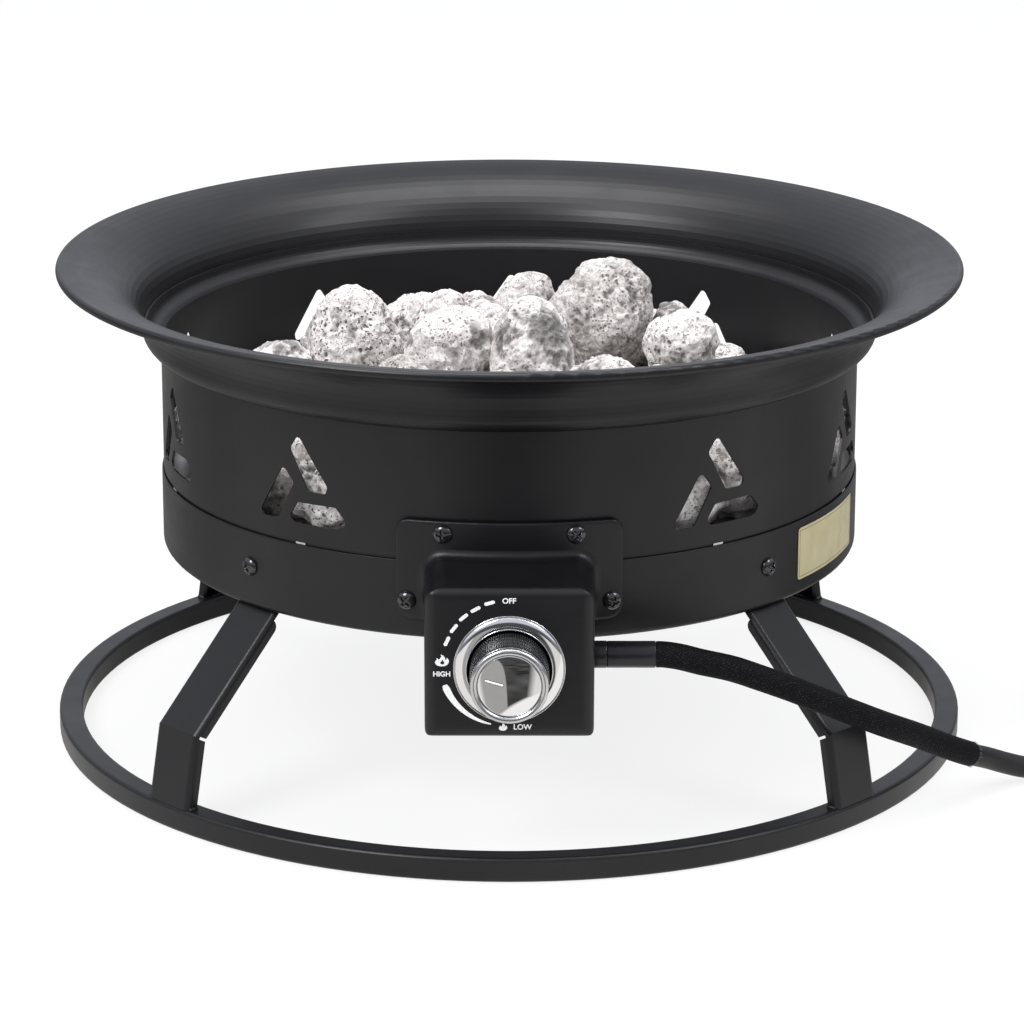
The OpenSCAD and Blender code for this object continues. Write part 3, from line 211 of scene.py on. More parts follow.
def tube(path, radius, sides, ends=True, bump=None):
    """A round tube along a path; returns vertices, faces and (turn, metres along) for each vertex."""
    verts, faces, uvs = [], [], []
    along = 0
    for i, (p, (_, s, u)) in enumerate(zip(path, frames_along(path))):
        if i:
            along += (p - path[i - 1]).length
        for k in range(sides + 1):
            a = 2 * math.pi * k / sides
            r = radius + (bump(k / sides % 1.0, along) if bump else 0)
            verts.append(p + (s * math.cos(a) + u * math.sin(a)) * r)
            uvs.append((k / sides, along))
    row = sides + 1
    for i in range(len(path) - 1):
        for k in range(sides):
            a, b = i * row + k, i * row + k + 1
            faces.append((a, b, b + row, a + row))
    if ends:
        for first, p, order in ((0, path[0], 1), ((len(path) - 1) * row, path[-1], -1)):
            verts.append(p)
            uvs.append((0, 0))
            for k in range(sides):
                f = (len(verts) - 1, first + k + 1, first + k)
                faces.append(f if order > 0 else f[::-1])
    return verts, faces, uvs


def catmull(points, steps):
    """A smooth curve through the points, with the given steps from each to the next."""
    pts = [points[0] * 2 - points[1]] + points + [points[-1] * 2 - points[-2]]
    out = []
    for i in range(1, len(pts) - 2):
        p0, p1, p2, p3 = pts[i - 1:i + 3]
        t0 = 0.0
        t1 = t0 + (p1 - p0).length ** 0.5
        t2 = t1 + (p2 - p1).length ** 0.5
        t3 = t2 + (p3 - p2).length ** 0.5
        for s in range(steps):
            t = t1 + (t2 - t1) * s / steps
            a1 = p0 * ((t1 - t) / (t1 - t0)) + p1 * ((t - t0) / (t1 - t0))
            a2 = p1 * ((t2 - t) / (t2 - t1)) + p2 * ((t - t1) / (t2 - t1))
            a3 = p2 * ((t3 - t) / (t3 - t2)) + p3 * ((t - t2) / (t3 - t2))
            b1 = a1 * ((t2 - t) / (t2 - t0)) + a2 * ((t - t0) / (t2 - t0))
            b2 = a2 * ((t3 - t) / (t3 - t1)) + a3 * ((t - t1) / (t3 - t1))
            out.append(b1 * ((t2 - t) / (t2 - t1)) + b2 * ((t - t1) / (t2 - t1)))
    out.append(points[-1].copy())
    return out


# ---------- materials ----------

class Look:
    """A principled material with short calls for its nodes."""

    def __init__(self, name, color, rough, metal=0.0, specular=0.5):
        self.m = bpy.data.materials.new(name)
        self.m.use_nodes = True
        self.t = self.m.node_tree
        self.p = self.t.nodes["Principled BSDF"]
        self.p.inputs["Base Color"].default_value = (*color, 1)
        self.p.inputs["Roughness"].default_value = rough
        self.p.inputs["Metallic"].default_value = metal
        self.p.inputs["Specular IOR Level"].default_value = specular
        self.where = self.add("ShaderNodeTexCoord").outputs["Object"]

    def put(self, socket, value):
        if isinstance(value, bpy.types.NodeSocket):
            self.t.links.new(value, socket)
        else:
            socket.default_value = value

    def add(self, kind, inputs=None, **props):
        n = self.t.nodes.new(kind)
        for k, v in props.items():
            setattr(n, k, v)
        for k, v in (inputs or {}).items():
            self.put(n.inputs[k], v)
        return n

    def math(self, op, a, b=0.0):
        return self.add("ShaderNodeMath", {0: a, 1: b}, operation=op).outputs[0]

    def times(self, a, b):
        return self.math("MULTIPLY", a, b)

    def plus(self, a, b):
        return self.math("ADD", a, b)

    def minus(self, a, b):
        return self.math("SUBTRACT", a, b)

    def most(self, a, b):
        return self.math("MAXIMUM", a, b)

    def least(self, a, b):
        return self.math("MINIMUM", a, b)

    def mixed(self, a, share_a, b, share_b):
        """Two values added in those shares."""
        return self.plus(self.times(a, share_a), self.times(b, share_b))

    def over(self, fac, below, above):
        """One colour over a colour socket, by a factor."""
        n = self.add("ShaderNodeMix", {"Factor": fac}, data_type="RGBA")
        self.put(n.inputs[6], below)
        n.inputs[7].default_value = (*above, 1)
        return n.outputs[2]

    def noise(self, scale, detail=3.0, rough=0.55, vec=None, distort=0.0):
        return self.add("ShaderNodeTexNoise", {
            "Vector": vec or self.where, "Scale": scale, "Detail": detail,
            "Roughness": rough, "Distortion": distort,
        }).outputs["Fac"]

    def cells(self, scale, vec):
        return self.add("ShaderNodeTexVoronoi", {
            "Vector": vec, "Scale": scale, "Randomness": 1.0,
        }, feature="F1").outputs["Distance"]

    def stretch(self, x, y, z):
        return self.add("ShaderNodeMapping", {"Vector": self.where, "Scale": (x, y, z)}).outputs[0]

    def ramp(self, fac, stops):
        """Stops are (position, grey or colour)."""
        n = self.add("ShaderNodeValToRGB", {"Fac": fac})
        els = n.color_ramp.elements
        while len(els) < len(stops):
            els.new(0.5)
        for e, (pos, val) in zip(els, stops):
            e.position = pos
            e.color = (*val, 1) if isinstance(val, tuple) else (val, val, val, 1)
        return n.outputs["Color"]

    def between(self, fac, lo, hi, at0=0.3, at1=0.7):
        return self.add("ShaderNodeMapRange", {
            "Value": fac, "From Min": at0, "From Max": at1, "To Min": lo, "To Max": hi,
        }).outputs["Result"]

    def color(self, socket):
        self.put(self.p.inputs["Base Color"], socket)

    def rough(self, socket):
        self.put(self.p.inputs["Roughness"], socket)

    def bump(self, *layers):
        """Layers are (height socket, strength, distance in metres), each over the last."""
        normal = None
        for height, strength, distance in layers:
            n = self.add("ShaderNodeBump", {"Height": height, "Strength": strength, "Distance": distance})
            if normal:
                self.put(n.inputs["Normal"], normal)
            normal = n.outputs["Normal"]
        self.put(self.p.inputs["Normal"], normal)


def powder(name, dark, light, rough_lo, rough_hi, specular=0.38):
    """Satin powder coat: a fine pebble, faint clouding and a few rubbed streaks."""
    k = Look(name, (dark, dark, dark), rough_lo, specular=specular)
    cloud = k.noise(16, 4)
    streak = k.noise(1, 5, 0.7, vec=k.stretch(24, 24, 420))
    k.color(k.ramp(k.mixed(cloud, 0.7, streak, 0.3),
                   [(0.3, (dark, dark * 0.98, dark * 1.22)), (0.72, (light, light * 0.98, light * 1.2))]))
    k.rough(k.between(k.mixed(k.noise(45, 3), 0.6, streak, 0.4), rough_lo, rough_hi))
    k.bump((k.noise(420, 2), 0.10, 0.0002), (k.noise(1500, 2), 0.14, 0.00012))
    return k.m


def metal(name, color, rough_lo, rough_hi, brush, tint=0.08, bump=0.08):
    """Bare metal with a directional grain and slightly uneven tarnish."""
    k = Look(name, color, rough_lo, 1.0)
    grain = k.noise(1, 4, 0.65, vec=k.stretch(*brush))
    cloud = k.noise(60, 4)
    lo = tuple(c * (1 - tint * 2) for c in color)
    hi = tuple(min(1, c * (1 + tint)) for c in color)
    k.color(k.ramp(k.mixed(grain, 0.45, cloud, 0.55), [(0.3, lo), (0.7, hi)]))
    k.rough(k.between(k.mixed(grain, 0.5, cloud, 0.5), rough_lo, rough_hi))
    k.bump((grain, bump, 0.0001))
    return k.m


def chrome(name, rough_lo, rough_hi, tone=0.86):
    """Polished plating with faint smears and a few hairlines."""
    k = Look(name, (tone, tone, tone), rough_lo, 1.0)
    smear = k.noise(90, 5, 0.6, distort=0.8)
    hair = k.noise(1, 3, 0.6, vec=k.stretch(180, 900, 2600))
    k.color(k.ramp(smear, [(0.25, (tone * 0.93, tone * 0.935, tone * 0.95)),
                           (0.7, (tone, tone, tone * 1.01))]))
    k.rough(k.between(k.mixed(smear, 0.75, hair, 0.25), rough_lo, rough_hi))
    k.bump((hair, 0.02, 0.00005))
    return k.m


def moulded(name, tone, rough_lo, rough_hi, grain=1600, depth=0.12):
    """Moulded plastic or smooth rubber with a fine skin and a little bloom."""
    k = Look(name, tone, rough_lo)
    cloud = k.noise(70, 4)
    hi = tuple(min(1, c * 1.45 + 0.004) for c in tone)
    k.color(k.ramp(cloud, [(0.3, tone), (0.75, hi)]))
    k.rough(k.between(k.mixed(cloud, 0.5, k.noise(400, 2), 0.5), rough_lo, rough_hi))
    k.bump((k.noise(grain, 2), depth, 0.0001))
    return k.m


def lava():
    """Pale porous volcanic stone: clustered pits of several sizes over a chalky, mottled skin, with painted
    shade that darkens the pits and the deep hollows.
    """
    k = Look("pale lava", (0.5, 0.49, 0.47), 0.92, specular=0.2)
    stone = k.add("ShaderNodeAttribute", attribute_name="stone")
    parts = k.add("ShaderNodeSeparateColor", {0: stone.outputs["Color"]})
    porous, own, hollow = parts.outputs[0], parts.outputs[1], parts.outputs[2]
    shift = k.add("ShaderNodeTexNoise", {"Vector": k.where, "Scale": 130.0, "Detail": 3.0}).outputs["Color"]
    wander = k.add("ShaderNodeVectorMath", {0: shift, "Scale": 0.005}, operation="SCALE").outputs[0]
    vec = k.add("ShaderNodeVectorMath", {0: k.where, 1: wander}, operation="ADD").outputs[0]
    patches = k.noise(48, 4, 0.6)
    clusters = k.noise(110, 3)
    big = k.times(k.between(k.cells(210, vec), 1, 0, 0.17, 0.25), k.between(patches, 0, 1, 0.44, 0.50))
    mid = k.times(k.between(k.cells(430, vec), 1, 0, 0.20, 0.30), k.between(patches, 0.1, 1, 0.42, 0.52))
    small = k.times(k.between(k.cells(950, vec), 1, 0, 0.22, 0.34), k.between(clusters, 0, 0.85, 0.44, 0.54))
    pits = k.times(k.most(k.most(big, mid), small), k.between(porous, 0.7, 1.0, 0.45, 1.0))
    mottle = k.mixed(k.noise(30, 5, 0.65), 0.5, k.noise(380, 5, 0.75), 0.5)
    tone = k.ramp(k.plus(mottle, k.times(k.minus(own, 0.5), 0.12)),
                  [(0.36, (0.26, 0.242, 0.226)), (0.47, (0.58, 0.547, 0.528)), (0.57, (0.80, 0.762, 0.742))])
    # painted shade: the deepest hollows of the stones are darkened in their colour
    painted_hollow_shade = k.times(k.between(hollow, 0, 1, 0.55, 1.0), 0.75)
    # painted shade: the pits and the deep hollows both take the near-black colour below
    dark = k.most(k.times(pits, 0.92), painted_hollow_shade)
    k.color(k.over(dark, tone, (0.05, 0.046, 0.042)))
    k.rough(k.between(k.noise(200, 3), 0.84, 0.98))
    k.bump((k.noise(230, 6, 0.75), 0.7, 0.0016),
           (k.minus(1.0, pits), 0.85, 0.0011),
           (k.noise(1300, 3, 0.7), 0.5, 0.0004))
    return k.m


def braid():
    """Woven sleeve: two sets of fine strands that cross, black, with pale painted highlights as glints here
    and there on the strand crowns.
    """
    k = Look("black braid", (0.02, 0.02, 0.022), 0.6, specular=0.08)
    uv = k.add("ShaderNodeTexCoord").outputs["UV"]
    sep = k.add("ShaderNodeSeparateXYZ", {0: uv})
    turn = k.times(sep.outputs[0], BRAID_STRANDS)
    run = k.times(sep.outputs[1], BRAID_TURNS_PER_METRE)
    a = k.math("FRACT", k.plus(turn, run))
    b = k.math("FRACT", k.minus(turn, run))
    fa = k.math("ABSOLUTE", k.minus(a, 0.5))
    fb = k.math("ABSOLUTE", k.minus(b, 0.5))
    strand = k.most(k.minus(0.5, fa), k.minus(0.5, fb))
    speck = k.noise(1900, 2, 0.6)
    # painted highlight: pale glints in the colour on the crowns of the strands
    glint = k.times(k.between(speck, 0, 1, 0.56, 0.68), k.between(strand, 0, 1, 0.30, 0.46))
    k.color(k.ramp(glint, [(0.0, (0.004, 0.004, 0.005)), (1.0, (0.055, 0.055, 0.06))]))
    k.rough(k.between(strand, 0.8, 0.52, 0.15, 0.5))
    k.bump((strand, 0.6, 0.0004), (k.noise(3600, 2), 0.3, 0.0001))
    return k.m


def hose_skin():
    """Extruded rubber: satin, with faint lines along its length."""
    k = Look("hose rubber", (0.012, 0.012, 0.013), 0.5, specular=0.3)
    uv = k.add("ShaderNodeTexCoord").outputs["UV"]
    drawn_out = k.add("ShaderNodeMapping", {"Vector": uv, "Scale": (46, 6, 1)}).outputs[0]
    lines = k.noise(1, 3, 0.6, vec=drawn_out)
    cloud = k.noise(60, 4)
    k.color(k.ramp(cloud, [(0.3, (0.008, 0.008, 0.009)), (0.75, (0.016, 0.016, 0.017))]))
    k.rough(k.between(k.mixed(cloud, 0.5, lines, 0.5), 0.42, 0.56))
    k.bump((lines, 0.12, 0.00015), (k.noise(1500, 2), 0.1, 0.0001))
    return k.m


def foil():
    """Satin foil with a thin printed border and a slight ripple."""
    k = Look("pale gold foil", (0.62, 0.55, 0.33), 0.36, 0.35)
    uv = k.add("ShaderNodeTexCoord").outputs["UV"]
    sep = k.add("ShaderNodeSeparateXYZ", {0: uv})
    long, tall = PATCH_LONG * MM, (PATCH_HIGH - PATCH_LOW) * MM
    edge_x = k.least(sep.outputs[0], k.minus(long, sep.outputs[0]))
    edge_y = k.least(sep.outputs[1], k.minus(tall, sep.outputs[1]))
    edge = k.least(edge_x, edge_y)
    line = k.times(k.between(edge, 0, 1, 0.0012, 0.0014), k.between(edge, 1, 0, 0.0017, 0.0019))
    cloud = k.noise(80, 4)
    base = k.ramp(cloud, [(0.3, (0.56, 0.49, 0.27)), (0.7, (0.66, 0.60, 0.38))])
    k.color(k.over(k.times(line, 0.75), base, (0.20, 0.16, 0.07)))
    k.rough(k.between(k.noise(300, 3), 0.30, 0.44))
    k.bump((k.noise(70, 3), 0.12, 0.0004), (k.noise(1800, 2), 0.08, 0.0001))
    return k.m


def print_ink():
    """White printing ink, slightly uneven."""
    k = Look("dial print", (0.78, 0.78, 0.77), 0.5)
    k.color(k.ramp(k.noise(900, 3), [(0.3, (0.70, 0.70, 0.69)), (0.6, (0.82, 0.82, 0.81))]))
    k.rough(k.between(k.noise(500, 2), 0.42, 0.58))
    k.bump((k.noise(2000, 2), 0.1, 0.00005))
    return k.m


MATERIAL = {
    "powder_black": powder("satin black powder coat", 0.0042, 0.0075, 0.32, 0.43),
    "black_screw": powder("glossy black screw", 0.008, 0.013, 0.10, 0.18, 0.9),
    "black_steel": powder("smooth black steel", 0.010, 0.015, 0.24, 0.34),
    "zinc_steel": metal("zinc plate", (0.56, 0.56, 0.57), 0.26, 0.42, (500, 500, 500)),
    "bare_steel": metal("bare stainless sheet", (0.62, 0.61, 0.60), 0.28, 0.44, (900, 60, 900)),
    "brass": metal("machined brass", (0.76, 0.56, 0.25), 0.20, 0.36, (1400, 300, 300)),
    "aluminium_tube": metal("drawn aluminium", (0.80, 0.80, 0.81), 0.28, 0.42, (900, 60, 900)),
    "cast_zinc": metal("cast zinc", (0.50, 0.49, 0.48), 0.45, 0.62, (700, 700, 700), 0.1, 0.35),
    "chrome_trim": chrome("polished chrome", 0.035, 0.10),
    "black_plastic": moulded("black plastic", (0.010, 0.010, 0.011), 0.24, 0.34),
    "regulator_grey": moulded("grey casting paint", (0.33, 0.34, 0.35), 0.32, 0.5, 700, 0.35),
    "regulator_cap": moulded("black lid paint", (0.014, 0.014, 0.015), 0.24, 0.4),
    "ceramic": moulded("glazed ceramic", (0.80, 0.79, 0.75), 0.12, 0.22, 500, 0.05),
    "lava_rock": lava(),
    "lead_rubber": moulded("lead insulation", (0.012, 0.012, 0.013), 0.36, 0.5),
    "hose_rubber": hose_skin(),
    "sleeve_braid": braid(),
    "pale_gold_foil": foil(),
}
SATIN_CHROME = chrome("satin chrome", 0.16, 0.26, 0.62)
MIRROR = chrome("mirror dome", 0.012, 0.035, 0.88)
PRINT = print_ink()
FRAY = moulded("frayed strand ends", (0.10, 0.10, 0.105), 0.5, 0.7)

for part in frame["record"]["subparts"]:
    mesh = NODES[part["node"]].data
    mesh.materials.clear()
    mesh.materials.append(MATERIAL[part["material_slot"]])
    mesh.polygons.foreach_set("material_index", [0] * len(mesh.polygons))


# ---------- gas hose, its sleeve and its ends ----------

# the hose's route from the housing to its coil, in mm, as in the solids
ROUTE = [
    (48.55, -207, 106), (60.55, -207, 106), (72.75, -207, 106), (75.75, -207, 106),
    (84, -206.3, 104.6), (95, -204, 101), (111, -200, 96), (126, -196, 89.5), (141, -191.5, 82.5),
    (156, -187, 75), (172, -181, 66.5), (189, -171, 56.5), (211, -151, 42), (229, -136, 30),
    (240, -126, 23), (251, -116, 16.8), (261, -110, 11.8), (272, -105.5, 7.8), (286, -101, 6.2),
    (303, -95, 5.8), (322, -89.5, 5.8), (342, -86, 5.8), (362, -84.9, 5.8), (373.5, -84.9, 5.8),
]
HOSE_EXIT = Vector(ROUTE[0]) * MM
SLEEVE_FROM, SLEEVE_TO, SLEEVE_R = 2, 14, 6.42      # the route's points that the sleeve covers
ROUTE_STEPS, SLEEVE_STEPS, COIL_STEPS, TAIL_STEPS = 5, 16, 48, 16
COIL_MID, COIL_R, COIL_PITCH = (385, 0), 84.9, 12.1
COIL_HALF, COIL_CLIMB = 3.125, 0.5                  # turns inwards, then as many outwards, one layer up
LIE = 5.8
TAIL_LEN, TAIL_RISE = 64, 1.2


def coil_point(t):
    """Where the hose lies after that many turns of its coil."""
    r = COIL_R - COIL_PITCH * (COIL_HALF - abs(t - COIL_HALF))
    a = math.radians(-90 + 360 * t)
    climb = max(0.0, min(1.0, (t - COIL_HALF) / COIL_CLIMB + 0.5))
    return Vector((COIL_MID[0] + r * math.cos(a), COIL_MID[1] + r * math.sin(a), LIE + COIL_PITCH * climb))


route_points = [Vector(p) for p in ROUTE]
coil = [coil_point(i / COIL_STEPS) for i in range(int(2 * COIL_HALF * COIL_STEPS) + 1)]
coil_end = coil[-1]
tail = [coil_end + Vector((0, HOSE_D, 0))]
for i in range(1, TAIL_STEPS + 1):
    k = i / TAIL_STEPS
    tail.append(coil_end + Vector((0, 2 * HOSE_D + (TAIL_LEN - 2 * HOSE_D) * k,
                                   TAIL_RISE * (1 - math.cos(math.pi * k)) / 2)))
tail.append(coil_end + Vector((0, HOSE_D + TAIL_LEN, TAIL_RISE)))
hose_path = [p * MM for p in catmull(route_points, ROUTE_STEPS) + coil + tail]

v, f, uv = tube(hose_path, HOSE_D / 2 * MM, 20)
gas_hose = new_piece("gas_hose_rubber", v, f, "hose_rubber", uvs=uv)
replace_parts(gas_hose, "gas_hose", "gas_hose_coil", "gas_hose_tail")

covered = catmull(route_points, SLEEVE_STEPS)[SLEEVE_FROM * SLEEVE_STEPS:SLEEVE_TO * SLEEVE_STEPS + 1]
sleeve_path = [p * MM for p in covered]


def weave(turn, along):
    """How far the crossing strands stand out of the sleeve, in metres."""
    run = along * BRAID_TURNS_PER_METRE
    a = (turn * BRAID_STRANDS + run) % 1.0
    b = (turn * BRAID_STRANDS - run) % 1.0
    return 0.00032 * max(0.5 - abs(a - 0.5), 0.5 - abs(b - 0.5))


v, f, uv = tube(sleeve_path, SLEEVE_R * MM, BRAID_STRANDS * 5, ends=False, bump=weave)
sleeve = new_piece("braided_sleeve_weave", v, f, "sleeve_braid", uvs=uv)
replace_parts(sleeve, "braided_sleeve")

# the sleeve's loose strands at its open end
LOOSE_STRANDS, STRAND_STEPS = 90, 3
rng = random.Random(7)
forward, aside, upward = frames_along(sleeve_path)[-1]
v, f = [], []
for i in range(LOOSE_STRANDS):
    a = 2 * math.pi * (i + rng.uniform(-0.3, 0.3)) / LOOSE_STRANDS
    out = aside * math.cos(a) + upward * math.sin(a)
    round_it = forward.cross(out)
    start = sleeve_path[-1] + out * 0.0062 - forward * 0.001
    length = rng.uniform(0.0015, 0.0045)
    lift = rng.uniform(-0.0002, 0.0008)
    twist = rng.uniform(-0.001, 0.001)
    f += wrap_faces(len(v), STRAND_STEPS, 3)
    for j in range(STRAND_STEPS + 1):
        k = j / STRAND_STEPS
        middle = start + forward * length * k + out * lift * k * k + round_it * twist * k
        thick = 0.00022 * (1 - 0.7 * k)
        for b in (0, 2 * math.pi / 3, 4 * math.pi / 3):
            v.append(middle + out * thick * math.cos(b) + round_it * thick * math.sin(b))
    f.append(tuple(range(len(v) - 3, len(v))))
frayed = new_piece("sleeve_frayed_end", v, f, "sleeve_braid", FRAY)

# collar: a smooth pressed sleeve that meets the nut, with a rounded mouth
profile = [(6.0, -0.18), (6.3, -0.18)] + arc_points(6.3, 0.22, 0.4, -90, 0, 4) + \
    [(6.7, 6.0), (6.66, 12.0), (6.7, 18.0)] + arc_points(6.0, 23.3, 0.7, 0, 90, 5) + \
    [(5.97, 24.0), (5.97, 20)]
v, f = lathe(profile, HOSE_EXIT, (1, 0, 0), 72)
collar = new_piece("hose_collar_smooth", v, f, "black_steel")
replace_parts(collar, "hose_collar")

# nut: a smooth ring with chamfers and a rolled front edge
profile = [(5.3, 0.0), (6.3, 0.0)] + arc_points(6.4, 0.4, 0.4, -90, 0, 3) + \
    arc_points(6.2, 5.9, 0.6, 0, 90, 5) + [(5.9, 6.5), (5.3, 6.3), (5.3, 5.0)]
v, f = lathe(profile, HOSE_EXIT - Vector((6.7, 0, 0)) * MM, (1, 0, 0), 72)
hose_nut = new_piece("hose_nut_turned", v, f, "black_steel")
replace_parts(hose_nut, "hose_nut")


# ---------- lava stones ----------

ISLAND_STEP = 0.8       # how far apart the stones stand, in metres, while each gets its own skin


def islands(bm):
    """The separate solids of a mesh, each as a list of vertices."""
    seen, out = set(), []
    for start in bm.verts:
        if start in seen:
            continue
        seen.add(start)
        group, todo = [], [start]
        while todo:
            vert = todo.pop()
            group.append(vert)
            for e in vert.link_edges:
                other = e.other_vert(vert)
                if other not in seen:
                    seen.add(other)
                    todo.append(other)
        out.append(group)
    return out


def relax(co, edges, rounds, amount):
    """Moves every point towards the middle of its neighbours."""
    degree = np.bincount(edges.ravel(), minlength=len(co))[:, None].astype(float)
    for _ in range(rounds):
        total = np.zeros_like(co)
        for axis in range(3):
            for here, there in (edges.T, edges.T[::-1]):
                total[:, axis] += np.bincount(here, weights=co[there, axis], minlength=len(co))
        co = co + (total / degree - co) * amount
    return co


def read_points(mesh):
    """A mesh's points and edges as arrays."""
    co = np.zeros(len(mesh.vertices) * 3)
    mesh.vertices.foreach_get("co", co)
    edges = np.zeros(len(mesh.edges) * 2, dtype=np.int64)
    mesh.edges.foreach_get("vertices", edges)
    return co.reshape(-1, 3), edges.reshape(-1, 2)


def voxel_skin(name, bm, voxel):
    """The bmesh's shape as an even net of small squares."""
    mesh = bpy.data.meshes.new(name + "_cage")
    store(bm, mesh)
    cage = link(name + "_cage", mesh)
    skin = cage.modifiers.new("voxels", "REMESH")
    skin.mode = "VOXEL"
    skin.voxel_size = voxel
    graph = bpy.context.evaluated_depsgraph_get()
    made = bpy.data.meshes.new_from_object(cage.evaluated_get(graph))
    bpy.data.objects.remove(cage)
    return made


def stone_push(p, porous):
    """How far out (+) or in (-) the skin of a stone goes at a point, in mm."""
    lump = noise.fractal(p * 42, 1.0, 2.0, 3)
    crag = 1 - abs(noise.noise(p * 105)) * 2
    grit = 1 - abs(noise.noise(p * 260)) * 2
    near = noise.voronoi(p * 120)[0]
    crack = min(1.0, (near[1] - near[0]) * 3.2)
    cluster = max(0.0, min(1.0, 0.5 + 2.2 * noise.noise(p * 38 + Vector((5, 2, 9)))))
    pocket = max(0.0, 0.42 - noise.voronoi(p * 200)[0][0]) / 0.42
    pore = max(0.0, 0.46 - noise.voronoi(p * 380)[0][0]) / 0.46
    return (3.0 * lump + 0.9 * crag * crag + 0.4 * grit
            - 0.8 * (1 - crack) * porous
            - (0.4 + 1.9 * cluster) * porous * pocket ** 0.6
            - (0.35 + 0.9 * cluster) * porous * pore ** 0.6)


def rough_stones(name, node, voxel):
    """The stones of a CAD node with worn edges, lumps, crags and pores."""
    bm = welded(NODES[node].data, 2e-6)
    groups = islands(bm)
    for i, group in enumerate(groups):
        for vert in group:
            vert.co.x += ISLAND_STEP * (i + 1)
    made = voxel_skin(name, bm, voxel)
    co, edges = read_points(made)
    which = np.rint(co[:, 0] / ISLAND_STEP).astype(int)
    co[:, 0] -= which * ISLAND_STEP
    co = relax(co, edges, int(round(4 * (0.0011 / voxel) ** 2)) + 1, 0.6)
    made.vertices.foreach_set("co", co.ravel())
    made.update()
    normals = np.zeros(len(co) * 3)
    made.vertices.foreach_get("normal", normals)
    picks = random.Random(11)
    porous, apart, tone = [], [], []
    for _ in range(len(groups) + 2):
        porous.append(picks.uniform(0.45, 1.25))
        apart.append(Vector([picks.uniform(-5, 5) for _ in range(3)]))
        tone.append(picks.random())
    push = np.array([stone_push(Vector(c) + apart[k], porous[k]) for c, k in zip(co, which)])
    co = co + normals.reshape(-1, 3) * np.clip(push, -4.2, 1.8)[:, None] * MM
    made.vertices.foreach_set("co", co.ravel())
    # how deep a point lies in the stone's skin; the lava material turns this into painted shade
    hollow = np.clip(0.5 - push / 3, 0, 1)
    shade = np.column_stack((np.array(porous)[which], np.array(tone)[which], hollow, np.ones(len(co))))
    made.attributes.new("stone", "FLOAT_COLOR", "POINT").data.foreach_set("color", shade.ravel())
    shade_smooth(made)
    made.update()
    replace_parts(piece_of(name, made, "lava_rock"), node)


rough_stones("lava_bed_rough", "lava_stones_bed", 0.0018)
rough_stones("lava_heap_rough", "lava_stones_heap", 0.0008)


# ---------- control housing: pressed steel with soft corners and a fillet ----------

def softened(node, name, voxel, rounds, slot):
    """A node's shape, remeshed and relaxed so that its edges and inner corners turn soft."""
    bm = welded(NODES[node].data, 2e-6)
    made = voxel_skin(name, bm, voxel)
    co, edges = read_points(made)
    made.vertices.foreach_set("co", relax(co, edges, rounds, 0.5).ravel())
    shade_smooth(made)
    made.update()
    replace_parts(piece_of(name, made, slot), node)


softened("control_housing", "control_housing_pressed", 0.0009, 8, "powder_black")

# the drawn fillet where the box grows out of its flange
BOX_HALF, BOX_TOP, BOX_ROUND, FLANGE_LOW, FILLET = 41.75, 150.0, 9.0, 116.3, 4.6
corner = BOX_HALF - BOX_ROUND
# each point is (x, z) and the way out of the box there
left_edge = [(-BOX_HALF, FLANGE_LOW + i * 3.0, -1, 0) for i in range(9)]
for i in range(13):
    t = math.pi - math.pi / 2 * i / 12
    left_edge.append((-corner + BOX_ROUND * math.cos(t), BOX_TOP - BOX_ROUND + BOX_ROUND * math.sin(t),
                      math.cos(t), math.sin(t)))
top_edge = [(-corner + 2 * corner * i / 24, BOX_TOP, 0, 1) for i in range(1, 24)]
edge_line = left_edge + top_edge + [(-x, z, -nx, nz) for x, z, nx, nz in reversed(left_edge)]


def flange_y(x):
    """The flange's outer face at that x."""
    return -math.sqrt(FLANGE_OUT ** 2 - x * x)


v, f = [], []
steps = 8
for n, (x, z, nx, nz) in enumerate(edge_line):
    ends = min(n, len(edge_line) - 1 - n)
    size = FILLET * min(1.0, 0.35 + 0.65 * ends / 5)
    for i in range(steps + 1):
        u = size * (1 - math.cos(math.pi / 2 * i / steps))
        rise = math.sqrt(max(0.0, size ** 2 - (u - size) ** 2))
        sink = -0.25 if i == 0 else 0.0
        px, pz = x + nx * (u + sink), z + nz * (u + sink)
        v.append(Vector((px, flange_y(px) - (size - rise) + (0.2 if i == steps else 0.0), pz)) * MM)
    px, pz = x - nx * 0.5, z - nz * 0.5
    v.append(Vector((px, flange_y(px) + 0.5, pz)) * MM)
row = steps + 2
for n in range(len(edge_line) - 1):
    for i in range(row):
        k = (i + 1) % row
        f.append((n * row + i, n * row + k, (n + 1) * row + k, (n + 1) * row + i))
f.append(tuple(range(row))[::-1])
f.append(tuple((len(edge_line) - 1) * row + i for i in range(row)))
sharpen(new_piece("control_housing_fillet", v, f, "powder_black"), 60)


# ---------- screws ----------

HEAD_R, HEAD_H, HEAD_RINGS, HEAD_SIDES = 5.0, 3.0, 22, 64
RECESS_REACH = HEAD_R * 0.56
SHANK_R, THREAD_DEEP, HALF_PITCH, SHANK_SIDES = 2.0, 0.22, 0.35, 20
WALL_IN = 184.7                 # the inside of the drum's skirt, where the shanks come out


def recess(x, y):
    """How deep the cross recess is at a point of a screw's head, from 0 to 1."""
    deep = 0.0
    for p, q in ((x, y), (y, x)):
        half_wide = 0.55 + 0.20 * max(0, 1 - abs(p) / 2.8)
        if abs(p) < RECESS_REACH:
            flank = min(1.0, max(0.0, (half_wide - abs(q)) / 0.22 + 0.5))
            deep = max(deep, flank * min(1.0, (RECESS_REACH - abs(p)) / 0.3))
    return deep


